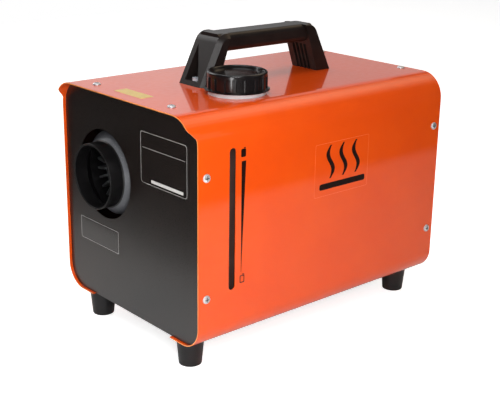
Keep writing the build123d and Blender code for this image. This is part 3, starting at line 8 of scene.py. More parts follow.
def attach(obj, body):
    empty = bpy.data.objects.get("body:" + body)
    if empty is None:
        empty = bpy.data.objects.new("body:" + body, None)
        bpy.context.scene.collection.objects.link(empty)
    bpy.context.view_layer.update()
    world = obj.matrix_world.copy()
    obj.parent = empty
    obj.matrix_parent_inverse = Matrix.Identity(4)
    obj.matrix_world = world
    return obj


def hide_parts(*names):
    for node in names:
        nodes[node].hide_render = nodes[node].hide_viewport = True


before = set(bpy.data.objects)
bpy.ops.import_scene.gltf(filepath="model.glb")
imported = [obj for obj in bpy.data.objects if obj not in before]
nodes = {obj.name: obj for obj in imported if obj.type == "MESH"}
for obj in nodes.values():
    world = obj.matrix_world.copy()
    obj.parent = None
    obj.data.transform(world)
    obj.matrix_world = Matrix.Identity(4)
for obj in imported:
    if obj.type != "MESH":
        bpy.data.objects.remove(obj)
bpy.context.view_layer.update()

caseShift = Vector((-0.004, 0.0, 0.0315))  # middle of the case's underside, in the frame
millimetre, perMetre = 0.001, 1000
caseFaces = {"side": -125, "front": -181.5, "top": 250}  # outer faces that carry labels and screws


def at(x, y, z):
    return Vector((x, y, z)) * millimetre + caseShift


def inScene(name, data):
    thing = bpy.data.objects.new(name, data)
    bpy.context.scene.collection.objects.link(thing)
    return thing


def facing(origin, right, up):
    right, up = Vector(right), Vector(up)
    out = right.cross(up)
    turn = Matrix((right, up, out)).transposed().to_4x4()
    return Matrix.Translation(origin) @ turn


def sidePlane(x, z, proud=0.0):
    return facing(at(x, caseFaces["side"] - proud, z), (1, 0, 0), (0, 0, 1))


def frontPlane(y, z, proud=0.0):
    return facing(at(caseFaces["front"] - proud, y, z), (0, -1, 0), (0, 0, 1))


def rearPlane(x, y, z):
    return facing(at(x, y, z), (0, 1, 0), (0, 0, 1))


def topPlane(x, y, z=caseFaces["top"]):
    return facing(at(x, y, z), (1, 0, 0), (0, 1, 0))


# Camera
cameraView = {
    "place": (-0.7785, -0.87525, 0.51475), "yaw": -41.25, "pitch": 18.24, "roll": 0.9,
    "lens": 73.39, "sensor": 36}


def makeCamera():
    yaw, pitch, roll = (math.radians(cameraView[key]) for key in ("yaw", "pitch", "roll"))
    ahead = Vector((-math.sin(yaw) * math.cos(pitch), math.cos(yaw) * math.cos(pitch), -math.sin(pitch)))
    right = Vector((math.cos(yaw), math.sin(yaw), 0))
    up = right.cross(ahead)
    rolledRight = right * math.cos(roll) + up * math.sin(roll)
    rolledUp = up * math.cos(roll) - right * math.sin(roll)
    turn = Matrix((rolledRight, rolledUp, -ahead)).transposed().to_4x4()
    data = bpy.data.cameras.new("camera")
    data.lens, data.sensor_width = cameraView["lens"], cameraView["sensor"]
    camera = inScene("camera", data)
    camera.matrix_world = Matrix.Translation(cameraView["place"]) @ turn
    bpy.context.scene.camera = camera


makeCamera()
print("camera placed")


# Materials
def linear(hexColour):  # sRGB hex to linear light
    values = [int(hexColour[i:i + 2], 16) / 255 for i in (1, 3, 5)]
    return tuple(v / 12.92 if v <= 0.04045 else ((v + 0.055) / 1.055) ** 2.4 for v in values) + (1.0,)


def addNode(tree, kind, settings=None, inputs=None):  # an input may be a node, for its first output, or a list
    node = tree.nodes.new(kind)
    for name, value in (settings or {}).items():
        setattr(node, name, value)
    for key, value in (inputs or {}).items():
        for source in value if isinstance(value, list) else [value]:
            if isinstance(source, bpy.types.Node):
                source = source.outputs[0]
            if isinstance(source, bpy.types.NodeSocket):
                tree.links.new(source, node.inputs[key])
            else:
                node.inputs[key].default_value = source
    return node


def newMaterial(name):
    material = bpy.data.materials.new(name)
    material.use_nodes = True
    material.node_tree.nodes.clear()
    return material, material.node_tree


# Where the cover's inner faces are, which get a dark painted shade: nearer to the case's core than the middle of
# the sheet
coverShell = {"core": 95.5, "middleZ": 156.5, "reach": 28.45, "visorEnd": -182.5}


def insideMask(tree, place):
    size = {key: value * millimetre for key, value in coverShell.items()}
    part = addNode(tree, "ShaderNodeSeparateXYZ", inputs={0: place}).outputs
    squares = []
    for value, middle in ((part["Y"], 0.0), (part["Z"], size["middleZ"])):
        off = addNode(tree, "ShaderNodeMath", {"operation": "SUBTRACT"}, {0: value, 1: middle})
        away = addNode(tree, "ShaderNodeMath", {"operation": "ABSOLUTE"}, {0: off})
        past = addNode(tree, "ShaderNodeMath", {"operation": "SUBTRACT"}, {0: away, 1: size["core"]})
        kept = addNode(tree, "ShaderNodeMath", {"operation": "MAXIMUM"}, {0: past, 1: 0.0})
        squares.append(addNode(tree, "ShaderNodeMath", {"operation": "MULTIPLY"}, {0: kept, 1: kept}))
    total = addNode(tree, "ShaderNodeMath", {"operation": "ADD"}, {0: squares[0], 1: squares[1]})
    inner = addNode(tree, "ShaderNodeMath", {"operation": "LESS_THAN"}, {0: total, 1: size["reach"] ** 2})
    behind = addNode(tree, "ShaderNodeMath", {"operation": "GREATER_THAN"}, {0: part["X"], 1: size["visorEnd"]})
    return addNode(tree, "ShaderNodeMath", {"operation": "MULTIPLY"}, {0: inner, 1: behind})


# The outer face of the outlet's cone, coarser than the smooth spigot before it and greyer, its grey partly the
# plastic's own and partly a painted highlight
coneFace = {"y": 47.5, "z": 184.8, "radius": 38.4, "start": -185.5, "middle": 36.1, "slope": 0.936}


def coneMask(tree, place):
    size = {key: coneFace[key] * millimetre for key in ("y", "z", "radius", "start", "middle")}
    spoke = addNode(tree, "ShaderNodeVectorMath", {"operation": "SUBTRACT"}, {
        0: place, 1: (0, size["y"], size["z"])})
    flat = addNode(tree, "ShaderNodeVectorMath", {"operation": "MULTIPLY"}, {0: spoke, 1: (0, 1, 1)})
    reach = addNode(tree, "ShaderNodeVectorMath", {"operation": "LENGTH"}, {0: flat}).outputs["Value"]
    along = addNode(tree, "ShaderNodeSeparateXYZ", inputs={0: place}).outputs["X"]
    depth = addNode(tree, "ShaderNodeMath", {"operation": "SUBTRACT"}, {0: along, 1: size["start"]})
    wall = addNode(tree, "ShaderNodeMath", {"operation": "MULTIPLY_ADD"}, {
        0: depth, 1: coneFace["slope"], 2: size["middle"]})
    outer = addNode(tree, "ShaderNodeMath", {"operation": "GREATER_THAN"}, {0: reach, 1: wall})
    wide = addNode(tree, "ShaderNodeMath", {"operation": "GREATER_THAN"}, {0: reach, 1: size["radius"]})
    return addNode(tree, "ShaderNodeMath", {"operation": "MULTIPLY"}, {0: outer, 1: wide})


# How the patterns of every finish are drawn, whatever their size
pattern = {
    "patchDetail": 4, "patchRange": (0.35, 0.65), "grainDetail": 3, "grainRoughness": 0.6,
    "grainRange": (0.3, 0.7), "fleckReach": 0.42, "bumpStrength": 0.5}


def surface(name, look):
    material, tree = newMaterial(name)
    place = addNode(tree, "ShaderNodeTexCoord").outputs["Object"]
    stretched = addNode(tree, "ShaderNodeMapping", inputs={
        "Vector": place, "Scale": look.get("stretch", (1, 1, 1))})
    patches = addNode(tree, "ShaderNodeTexNoise", inputs={
        "Vector": place, "Scale": perMetre / look["patchSize"], "Detail": pattern["patchDetail"]})
    low, high = pattern["patchRange"]
    tone = addNode(tree, "ShaderNodeMapRange", inputs={"Value": patches, "From Min": low, "From Max": high})
    layers = [("second", tone)]
    if "cone" in look:
        onCone = coneMask(tree, place)
        layers.append(("cone", onCone))
    if "edge" in look:  # painted highlight: the cut edges of a sheet are coloured paler, as if lit
        layers.append(("edge", addNode(tree, "ShaderNodeAttribute", {"attribute_name": "cutEdge"}).outputs["Fac"]))
    # painted shade: the cover's inner faces are coloured dark
    if "inside" in look:
        layers.append(("inside", insideMask(tree, place)))
    grain = addNode(tree, "ShaderNodeTexNoise", inputs={
        "Vector": stretched, "Scale": perMetre / look["grainSize"],
        "Detail": look.get("detail", pattern["grainDetail"]), "Roughness": pattern["grainRoughness"]})
    if "fleckSize" in look:  # light grains in the plastic that show on the cone
        cells = addNode(tree, "ShaderNodeTexVoronoi", inputs={
            "Vector": place, "Scale": perMetre / look["fleckSize"]})
        pick = addNode(tree, "ShaderNodeSeparateColor", inputs={0: cells.outputs["Color"]})
        chosen = addNode(tree, "ShaderNodeMath", {"operation": "LESS_THAN"}, {0: pick, 1: look["fleckShare"]})
        near = addNode(tree, "ShaderNodeMath", {"operation": "LESS_THAN"}, {
            0: cells.outputs["Distance"], 1: pattern["fleckReach"]})
        fleck = addNode(tree, "ShaderNodeMath", {"operation": "MULTIPLY"}, {0: chosen, 1: near})
        fleck = addNode(tree, "ShaderNodeMath", {"operation": "MULTIPLY"}, {0: fleck, 1: onCone})
        layers.append(("fleck", fleck))
    colour = linear(look["colour"])
    for key, share in layers:
        colour = addNode(tree, "ShaderNodeMix", {"data_type": "RGBA"}, {
            0: share, 6: colour, 7: linear(look[key])}).outputs[2]
    low, high = pattern["grainRange"]
    roughness = addNode(tree, "ShaderNodeMapRange", inputs={
        "Value": grain, "From Min": low, "From Max": high,
        "To Min": look["roughness"][0], "To Max": look["roughness"][1]})
    bump = addNode(tree, "ShaderNodeBump", inputs={
        "Strength": look.get("bumpStrength", pattern["bumpStrength"]), "Distance": look["depth"] * millimetre,
        "Height": grain})
    shader = addNode(tree, "ShaderNodeBsdfPrincipled", inputs={
        "Base Color": colour, "Roughness": roughness, "Normal": bump, **look.get("shader", {})})
    addNode(tree, "ShaderNodeOutputMaterial", inputs={"Surface": shader})
    return material


looks = {
    # Polyester powder coat over steel: orange peel a few millimetres across under a clear gloss; its inner faces
    # carry a painted shade and its cut edges a painted highlight
    "powderCoatOrange": {
        "colour": "#E5500E", "second": "#E24C0D", "patchSize": 60, "grainSize": 6, "detail": 0, "depth": 0.003,
        "inside": "#2A1712", "edge": "#FF9A50", "roughness": (0.30, 0.34), "bumpStrength": 0.1,
        "shader": {"Coat Weight": 0.9, "Coat Roughness": 0.02, "Specular IOR Level": 0.05}},
    # Fine textured black powder coat on the end plates and inner sheet parts
    "powderCoatBlack": {
        "colour": "#150E0B", "second": "#1A120F", "patchSize": 45, "grainSize": 0.9, "depth": 0.02,
        "roughness": (0.26, 0.34), "shader": {"Specular IOR Level": 0.8}},
    # Zinc plated steel: bluish grey, slightly cloudy
    "zincPlate": {
        "colour": "#E3E5E8", "second": "#CDD0D4", "patchSize": 2.5, "grainSize": 0.5, "depth": 0.01,
        "roughness": (0.22, 0.38), "shader": {"Metallic": 0.65}},
    # Painted shade on the floor of a screw's cross recess, a dark zinc colour
    "recessPaintedShade": {
        "colour": "#23272E", "second": "#1B1F25", "patchSize": 1.5, "grainSize": 0.4, "depth": 0.01,
        "roughness": (0.5, 0.65), "shader": {"Metallic": 0.4}},
    # Zinc plate with a pale blue passivation, duller than the screws
    "zincBlue": {
        "colour": "#C6CCD4", "second": "#B4BAC2", "patchSize": 3, "grainSize": 0.5, "depth": 0.01,
        "roughness": (0.3, 0.42), "shader": {"Metallic": 0.25}},
    # Moulded rubber of the feet, nearly black with a soft sheen
    "footRubber": {
        "colour": "#141213", "second": "#1A1718", "patchSize": 12, "grainSize": 0.8, "depth": 0.02,
        "roughness": (0.34, 0.46), "shader": {"Specular IOR Level": 0.4}},
    # Glass filled nylon of the handle, its eroded mould grain spreads the light
    "handleNylon": {
        "colour": "#191413", "second": "#201A18", "patchSize": 20, "grainSize": 0.7, "depth": 0.035,
        "roughness": (0.30, 0.42), "shader": {"Specular IOR Level": 0.3}},
    # Polypropylene cap from a polished mould, glossy with faint waves
    "capPolypropylene": {
        "colour": "#121011", "second": "#171415", "patchSize": 25, "grainSize": 2.2, "depth": 0.006,
        "roughness": (0.16, 0.22), "bumpStrength": 0.12},
    # Thermoplastic rubber grommet, milky and matt
    "sealRubber": {
        "colour": "#D9D7DA", "second": "#CFCDD0", "patchSize": 10, "grainSize": 0.6, "depth": 0.02,
        "roughness": (0.45, 0.6)},
    # Phenolic moulding of the outlet: smooth black, and a greyer cone with mineral flecks, whose grey is partly a
    # painted highlight
    "outletPhenolic": {
        "colour": "#0C0B0C", "second": "#121112", "patchSize": 15, "grainSize": 0.6, "depth": 0.02,
        "cone": "#56575B", "fleck": "#77787C", "fleckSize": 0.8, "fleckShare": 0.10,
        "roughness": (0.28, 0.42), "shader": {"Specular IOR Level": 0.25}},
    # Blow moulded polyethylene, dark grey brown and cloudy
    "tankPolyethylene": {
        "colour": "#4A3733", "second": "#5A4540", "patchSize": 40, "grainSize": 1.5, "depth": 0.04,
        "roughness": (0.4, 0.55)},
    # Injection moulded black nylon of the inner parts, fan and controller, dull
    "mouldedNylonBlack": {
        "colour": "#181819", "second": "#202021", "patchSize": 20, "grainSize": 0.7, "depth": 0.04,
        "roughness": (0.45, 0.6)},
    # Die cast aluminium, pale grey with the fine skin of the die
    "castAluminium": {
        "colour": "#D2D3D1", "second": "#B9BAB8", "patchSize": 6, "grainSize": 0.9, "depth": 0.05,
        "roughness": (0.42, 0.58), "shader": {"Metallic": 0.8}},
    # The exchanger's cast aluminium, painted a darker grey as the shade deep inside the outlet
    "exchangerShadedCasting": {
        "colour": "#8B8D8E", "second": "#747678", "patchSize": 6, "grainSize": 0.9, "depth": 0.05,
        "roughness": (0.36, 0.5), "shader": {"Metallic": 0.85}},
    # Heat resisting steel, blued and browned by the flame
    "burnerSteel": {
        "colour": "#6A625A", "second": "#4A4A55", "patchSize": 14, "grainSize": 0.6, "depth": 0.02,
        "roughness": (0.35, 0.5), "shader": {"Metallic": 1.0}},
    # Drawn stainless tube with lengthwise lines
    "stainlessTube": {
        "colour": "#A8A49D", "second": "#8F8B85", "patchSize": 12, "grainSize": 1.0, "depth": 0.01,
        "stretch": (0.08, 1, 1), "roughness": (0.25, 0.4), "shader": {"Metallic": 1.0}},
    # Sintered ferrite, dark and chalky
    "ferriteMagnet": {
        "colour": "#2A2A2C", "second": "#343436", "patchSize": 8, "grainSize": 0.5, "depth": 0.03,
        "roughness": (0.6, 0.75)},
    # Enamelled copper wire, reddish with the lines of its turns
    "copperWinding": {
        "colour": "#A0522A", "second": "#7A3A1A", "patchSize": 3, "grainSize": 0.8, "depth": 0.1,
        "stretch": (0.1, 1, 1), "roughness": (0.3, 0.5), "shader": {"Metallic": 1.0}},
    # Compressed fibre gasket, dull grey brown
    "fibreGasket": {
        "colour": "#4A443C", "second": "#5A5348", "patchSize": 5, "grainSize": 0.5, "depth": 0.05,
        "roughness": (0.7, 0.85)},
    # Closed cell foam, matt and pitted
    "cellFoam": {
        "colour": "#1E1E1F", "second": "#29292A", "patchSize": 4, "grainSize": 1.2, "depth": 0.2,
        "roughness": (0.8, 0.95)},
    # Clear nylon of the filter, yellowed a little by fuel
    "filterNylon": {
        "colour": "#D8D2B8", "second": "#CEC6A4", "patchSize": 10, "grainSize": 1.5, "depth": 0.02,
        "roughness": (0.2, 0.3), "shader": {"Transmission Weight": 0.6, "IOR": 1.53}},
    # Rubber of the fuel hoses and cable jackets, satin black
    "hoseRubber": {
        "colour": "#161616", "second": "#1E1E1E", "patchSize": 9, "grainSize": 0.6, "depth": 0.04,
        "roughness": (0.5, 0.65)},
    # Smoked acrylic over the display, a dark mirror
    "displayAcrylic": {
        "colour": "#0B0E12", "second": "#0E1217", "patchSize": 30, "grainSize": 3.0, "depth": 0.004,
        "roughness": (0.05, 0.08), "shader": {"Coat Weight": 0.5, "Coat Roughness": 0.03}},
    # Glass fibre circuit board under green solder mask
    "boardLaminate": {
        "colour": "#14502C", "second": "#1B5E36", "patchSize": 6, "grainSize": 0.8, "depth": 0.02,
        "roughness": (0.3, 0.45)},
    # Silicone keys, matt grey
    "buttonSilicone": {
        "colour": "#7E8084", "second": "#8A8C90", "patchSize": 5, "grainSize": 0.4, "depth": 0.01,
        "roughness": (0.5, 0.6)},
    # Black printed film of the two labels, with a soft gloss
    "labelFilmBlack": {
        "colour": "#17110F", "second": "#1D1613", "patchSize": 18, "grainSize": 1.4, "depth": 0.006,
        "roughness": (0.20, 0.26), "shader": {"Coat Weight": 0.4, "Coat Roughness": 0.08}},
    # White ink on film, slightly grey
    "labelInkWhite": {
        "colour": "#D8D5D2", "second": "#CECBC8", "patchSize": 8, "grainSize": 0.5, "depth": 0.003,
        "roughness": (0.3, 0.4)},
    # Yellow paper sticker under a clear varnish
    "stickerYellow": {
        "colour": "#E3BF52", "second": "#D8B244", "patchSize": 6, "grainSize": 0.5, "depth": 0.01,
        "roughness": (0.35, 0.45), "shader": {"Coat Weight": 0.4, "Coat Roughness": 0.1}},
    # Clear film laid on the coat, so it has nearly the coat's colour and a softer gloss
    "clearFilm": {
        "colour": "#E5500E", "second": "#E24C0D", "patchSize": 60, "grainSize": 5.0, "detail": 0, "depth": 0.003,
        "roughness": (0.30, 0.34), "bumpStrength": 0.1,
        "shader": {"Coat Weight": 0.8, "Coat Roughness": 0.06, "Specular IOR Level": 0.05}},
    # Cut edge of the clear film, which catches the light as a thin pale line
    "filmEdge": {
        "colour": "#F07038", "second": "#EC6A33", "patchSize": 20, "grainSize": 0.8, "depth": 0.002,
        "roughness": (0.35, 0.45), "shader": {"Specular IOR Level": 0.3}},
    # Screen print on the side, a dull near black
    "printInkDark": {
        "colour": "#140907", "second": "#1B0D0A", "patchSize": 7, "grainSize": 0.5, "depth": 0.004,
        "roughness": (0.3, 0.4), "shader": {"Specular IOR Level": 0.1}},
    # Black coated guard wire, satin
    "wireCoatBlack": {
        "colour": "#161616", "second": "#1C1C1C", "patchSize": 6, "grainSize": 0.8, "depth": 0.02,
        "roughness": (0.3, 0.42)},
}
materials = {name: surface(name, look) for name, look in looks.items()}

nodeFinish = {
    "powderCoatOrange": ["cover"],
    "powderCoatBlack": ["front_panel", "rear_panel", "floor_tray", "heater_bracket"],
    "zincPlate": [
        "foot_bolts", "lock_nuts", "heater_studs", "hose_clamps", "motor_can", "motor_shaft", "motor_bearings",
        "dosing_pump", "pump_plunger", "glow_plug", "cover_screws", "guard_screws"],
    "zincBlue": ["handle_bolts"],
    "footRubber": ["feet"],
    "handleNylon": ["handle"],
    "capPolypropylene": ["filler_cap"],
    "sealRubber": ["neck_seal"],
    "outletPhenolic": ["outlet_hood"],
    "tankPolyethylene": ["fuel_tank"],
    "mouldedNylonBlack": [
        "jacket_lower", "jacket_upper", "inlet_grille", "hot_air_fan", "control_unit", "intake_pipe",
        "intake_silencer", "controller_case", "power_inlet"],
    "castAluminium": ["blower_casting", "combustion_fan", "overheat_sensor"],
    "exchangerShadedCasting": ["heat_exchanger"],
    "burnerSteel": ["burner_tube"],
    "stainlessTube": ["exhaust_pipe", "exhaust_outlet"],
    "ferriteMagnet": ["motor_magnets"],
    "copperWinding": ["armature"],
    "fibreGasket": ["mount_gasket"],
    "cellFoam": ["tank_pads"],
    "filterNylon": ["fuel_filter", "delivery_hose"],
    "hoseRubber": ["tank_hose", "pump_hose", "wiring_loom", "power_lead", "pump_clip", "cap_gasket"],
    "displayAcrylic": ["display_window"],
    "boardLaminate": ["control_board"],
    "buttonSilicone": ["button_up", "button_down", "button_left", "button_right", "button_ok"],
    "wireCoatBlack": ["inlet_guard"],
}
for finish, members in nodeFinish.items():
    for member in members:
        mesh = nodes[member].data
        mesh.materials.clear()
        mesh.materials.append(materials[finish])
print("materials on", sum(len(members) for members in nodeFinish.values()), "of", len(nodes), "nodes")


# Pieces
def meshOf(bm, name):
    mesh = bpy.data.meshes.new(name)
    bm.to_mesh(mesh)
    bm.free()
    return mesh


def appliedMesh(holder, name):  # applies the holder's modifiers and takes the holder out again
    bpy.context.view_layer.update()
    depsgraph = bpy.context.evaluated_depsgraph_get()
    mesh = bpy.data.meshes.new_from_object(holder.evaluated_get(depsgraph), depsgraph=depsgraph)
    holder.modifiers.clear()
    bpy.data.objects.remove(holder)
    mesh.name = name
    return mesh


def addPiece(name, mesh, finish, body, smooth=False):
    mesh.materials.clear()
    mesh.materials.append(materials[finish])
    mesh.polygons.foreach_set("use_smooth", [smooth] * len(mesh.polygons))
    piece = inScene(name, mesh)
    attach(piece, body)
    return piece


def roundedBox(width, height, radius, steps=6, centre=(0, 0)):
    points = []
    for turn, (sx, sy) in enumerate(((1, 1), (-1, 1), (-1, -1), (1, -1))):
        for step in range(steps + 1):
            angle = math.pi / 2 * (turn + step / steps)
            points.append((
                centre[0] + sx * (width / 2 - radius) + radius * math.cos(angle),
                centre[1] + sy * (height / 2 - radius) + radius * math.sin(angle)))
    return points


def plate(size):
    return roundedBox(size["width"], size["height"], size["corner"])


def lineRound(size, centre=(0, 0)):  # a thin line along a plate's rim: its outer and inner outline
    width, height = size["width"] - 2 * size["lineInset"], size["height"] - 2 * size["lineInset"]
    outerCorner, innerCorner = size["lineCorners"]
    inner = roundedBox(width - 2 * size["line"], height - 2 * size["line"], innerCorner, centre=centre)
    return roundedBox(width, height, outerCorner, centre=centre), inner


# How far films and ink stand proud, and how far every added sheet reaches into what it lies on
films = {"film": 0.12, "ink": 0.06, "sink": 0.1}


def addSheet(name, outlines, thickness, plane, finish, body="case"):
    sink = films["sink"]
    bm = bmesh.new()
    for outline in outlines:
        outer, holes = outline if isinstance(outline, tuple) else (outline, None)
        lower = [bm.verts.new((x * millimetre, y * millimetre, -sink * millimetre)) for x, y in outer]
        if holes is None:
            faces = [bm.faces.new(lower)]
        else:  # a ring: both outlines have the same number of points
            inner = [bm.verts.new((x * millimetre, y * millimetre, -sink * millimetre)) for x, y in holes]
            count = len(lower)
            faces = [
                bm.faces.new((lower[i], lower[(i + 1) % count], inner[(i + 1) % count], inner[i]))
                for i in range(count)]
        raised = bmesh.ops.extrude_face_region(bm, geom=faces)
        tops = [item for item in raised["geom"] if isinstance(item, bmesh.types.BMVert)]
        bmesh.ops.translate(bm, verts=tops, vec=(0, 0, (thickness + sink) * millimetre))
    bmesh.ops.recalc_face_normals(bm, faces=bm.faces)
    bm.transform(plane)
    addPiece(name, meshOf(bm, name), finish, body)


# The cover: the CAD sheet with its level slot at full length and its cut edges eased
levelSlot = {"x": -140, "z": 137, "length": 153.4, "width": 8.6, "steps": 12, "cutFrom": -131, "cutDepth": 12}
coverMesh = {
    "merge": 0.002, "flatTurn": 0.3, "ease": 0.28, "easeSteps": 2, "easeTurn": 40,
    "endReach": 184.2, "endTurn": 0.45}  # the last two tell which faces are cut edges at the sheet's ends


def slotCutter():
    size = levelSlot
    straight, radius = size["length"] / 2 - size["width"] / 2, size["width"] / 2
    bm = bmesh.new()
    ring = []
    for turn in range(2 * size["steps"] + 2):
        angle = math.pi * (turn - (turn > size["steps"])) / size["steps"]
        lift = straight if turn <= size["steps"] else -straight
        ring.append(bm.verts.new(at(
            size["x"] + radius * math.cos(angle), size["cutFrom"],
            size["z"] + lift + radius * math.sin(angle))))
    grown = bmesh.ops.extrude_face_region(bm, geom=[bm.faces.new(ring)])
    far = [item for item in grown["geom"] if isinstance(item, bmesh.types.BMVert)]
    bmesh.ops.translate(bm, verts=far, vec=(0, size["cutDepth"] * millimetre, 0))
    bmesh.ops.recalc_face_normals(bm, faces=bm.faces)
    return meshOf(bm, "slotCutter")


def makeCover():
    size = coverMesh
    bm = bmesh.new()
    bm.from_mesh(nodes["cover"].data)
    bmesh.ops.remove_doubles(bm, verts=bm.verts, dist=size["merge"] * millimetre)
    bmesh.ops.dissolve_limit(
        bm, angle_limit=math.radians(size["flatTurn"]), verts=bm.verts, edges=bm.edges,
        use_dissolve_boundaries=False)
    cutter = inScene("slotCutter", slotCutter())
    holder = inScene("coverHolder", meshOf(bm, "coverStart"))
    cut = holder.modifiers.new("slot", "BOOLEAN")
    cut.operation, cut.solver, cut.object = "DIFFERENCE", "EXACT", cutter
    ease = holder.modifiers.new("ease", "BEVEL")
    ease.width, ease.segments = size["ease"] * millimetre, size["easeSteps"]
    ease.limit_method, ease.angle_limit = "ANGLE", math.radians(size["easeTurn"])
    mesh = appliedMesh(holder, "coverSheet")
    bpy.data.objects.remove(cutter)
    middle, reach = caseShift.x, size["endReach"] * millimetre
    # marks the cut edges at the sheet's ends, which the coat's material paints paler as a highlight
    mesh.attributes.new("cutEdge", "FLOAT", "FACE").data.foreach_set("value", [
        float(abs(face.normal.x) > size["endTurn"] and abs(face.center.x - middle) > reach)
        for face in mesh.polygons])
    print("cover sheet made with", len(mesh.polygons), "faces")
    piece = addPiece("coverSheet", mesh, "powderCoatOrange", "case")
    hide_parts("cover")


makeCover()


# Labels left bare: dark film with a white line round it, the upper one with a blank white strip
upperLabel = {
    "width": 81.5, "height": 58, "corner": 4.5, "lineInset": 1.0, "line": 0.35, "lineCorners": (3.7, 3.35),
    "ruleInset": 4, "ruleHeight": 40, "ruleCorner": 0.2,
    "strip": (55, 3.4), "stripCorner": 0.4, "stripCentre": (6, -23.6), "centre": (-63.85, 190.3)}
lowerLabel = {
    "width": 78.7, "height": 28.3, "corner": 2, "lineInset": 1.0, "line": 0.3, "lineCorners": (1.4, 1.1),
    "centre": (60.65, 78.65)}
topSticker = {"width": 16.5, "height": 50.5, "corner": 1.5, "centre": (-168.25, 6.25)}
sideFilm = {
    "width": 84.2, "height": 60.5, "corner": 2, "lineInset": 0.1, "line": 0.4, "lineCorners": (1.9, 1.5),
    "lineRaise": 0.02, "centre": (18.3, 166.75)}


def makeLabels():
    for name, size in (("dataLabel", upperLabel), ("lowLabel", lowerLabel)):
        addSheet(name + "Film", [plate(size)], films["film"], frontPlane(*size["centre"]),
                 "labelFilmBlack")
        shapes = [lineRound(size)]
        if "strip" in size:
            ruleLength, ruleHeight = size["width"] - 2 * size["ruleInset"], size["ruleHeight"] - size["height"] / 2
            shapes.append(roundedBox(ruleLength, size["line"], size["ruleCorner"], centre=(0, ruleHeight)))
            shapes.append(roundedBox(*size["strip"], size["stripCorner"], centre=size["stripCentre"]))
        addSheet(name + "Ink", shapes, films["ink"], frontPlane(*size["centre"], films["film"]),
                 "labelInkWhite")
    size = topSticker
    addSheet("topSticker", [plate(size)], films["film"], topPlane(*size["centre"]), "stickerYellow")
    size = sideFilm
    raised = sidePlane(*size["centre"], films["film"])
    addSheet("sideFilmEdge", [lineRound(size)], size["lineRaise"], raised, "filmEdge")
    addSheet("sideFilm", [plate(size)], films["film"], sidePlane(*size["centre"]), "clearFilm")


makeLabels()


# A general sign for heat: three rising waves over a bar
heatSign = {
    "waveHeight": 38, "waveBase": 6, "waveWidth": 6.4, "swing": 4.2, "pitch": 20, "steps": 36,
    "endShare": 0.06, "taper": 0.5, "barWidth": 72, "barHeight": 7, "barCorner": 2.5, "barBase": -21.5,
    "centre": (20, 169)}


def makeHeatSign():
    size = heatSign
    shapes = []
    for turn in (-1, 0, 1):
        left, right = [], []
        for step in range(size["steps"] + 1):
            share = step / size["steps"]
            height = size["waveHeight"] * (share - 0.5) + size["waveBase"]
            middle = turn * size["pitch"] + size["swing"] * math.sin(share * 2 * math.pi)
            kept = min(max(share, size["endShare"]), 1 - size["endShare"])  # keeps the wave's ends blunt
            half = size["waveWidth"] / 2 * math.sin(math.pi * kept) ** size["taper"]
            left.append((middle - half, height))
            right.append((middle + half, height))
        shapes.append(right + left[::-1])
    shapes.append(roundedBox(size["barWidth"], size["barHeight"], size["barCorner"], centre=(0, size["barBase"])))
    addSheet("heatSign", shapes, films["ink"], sidePlane(*size["centre"], films["film"]), "printInkDark")


makeHeatSign()


# Level scale beside the slot: a tapering wedge between a full and an empty can
levelScale = {
    "x": -125.5, "base": 140, "wedgeTop": 198, "wedgeTip": 77, "wedgeWidth": 6, "tipSpan": (0.7, 1.0),
    "fullCan": 206.5, "emptyCan": 69.2, "canShift": -0.6, "ink": 0.05,
    "spout": (2.4, 1.2), "spoutCorner": 0.3, "spoutShift": 1.0, "spoutLift": 0.9}
levelCan = {"width": 6.4, "height": 8.6, "lineInset": 0, "line": 1.1, "lineCorners": (1.2, 0.5)}


def makeLevelScale():
    size = levelScale
    top, tip = size["wedgeTop"] - size["base"], size["wedgeTip"] - size["base"]
    half = size["wedgeWidth"] / 2
    tipLeft, tipRight = (share - half for share in size["tipSpan"])
    shapes = [[(-half, top), (tipLeft, tip), (tipRight, tip), (half, top)]]
    for z, filled in ((size["fullCan"], True), (size["emptyCan"], False)):
        height = z - size["base"]
        outer, inner = lineRound(levelCan, centre=(size["canShift"], height))
        shapes.append(outer if filled else (outer, inner))
        lift = height + levelCan["height"] / 2 + size["spoutLift"]
        shapes.append(roundedBox(*size["spout"], size["spoutCorner"], centre=(size["spoutShift"], lift)))
    addSheet("levelScale", shapes, size["ink"], sidePlane(size["x"], size["base"]), "printInkDark")


makeLevelScale()
print("labels and signs made")


# Geometry Nodes
def newTree(name, sizes):
    tree = bpy.data.node_groups.new(name, "GeometryNodeTree")
    tree.interface.new_socket("Geometry", in_out="INPUT", socket_type="NodeSocketGeometry")
    for label in sizes:
        tree.interface.new_socket(label, in_out="INPUT", socket_type="NodeSocketFloat")
    tree.interface.new_socket("Geometry", in_out="OUTPUT", socket_type="NodeSocketGeometry")
    return tree, tree.nodes.new("NodeGroupInput")


def closeTree(tree, geometry, finish):
    real = addNode(tree, "GeometryNodeRealizeInstances", inputs={0: geometry})
    painted = addNode(tree, "GeometryNodeSetMaterial", inputs={0: real, "Material": materials[finish]})
    addNode(tree, "NodeGroupOutput", inputs={0: painted})


def meshFromTree(name, startMesh, tree, sizes):
    holder = inScene(name + "Holder", startMesh)
    modifier = holder.modifiers.new("shape", "NODES")
    modifier.node_group = tree
    for item in tree.interface.items_tree:
        if item.in_out == "INPUT" and item.name in sizes:
            modifier[item.identifier] = sizes[item.name] * millimetre
    return appliedMesh(holder, name)


def seatMesh(name, seats):
    mesh = bpy.data.meshes.new(name)
    mesh.from_pydata([place for place, aim in seats], [], [])
    aims = mesh.attributes.new("aim", "FLOAT_VECTOR", "POINT")
    aims.data.foreach_set("vector", [value for place, aim in seats for value in aim])
    return mesh


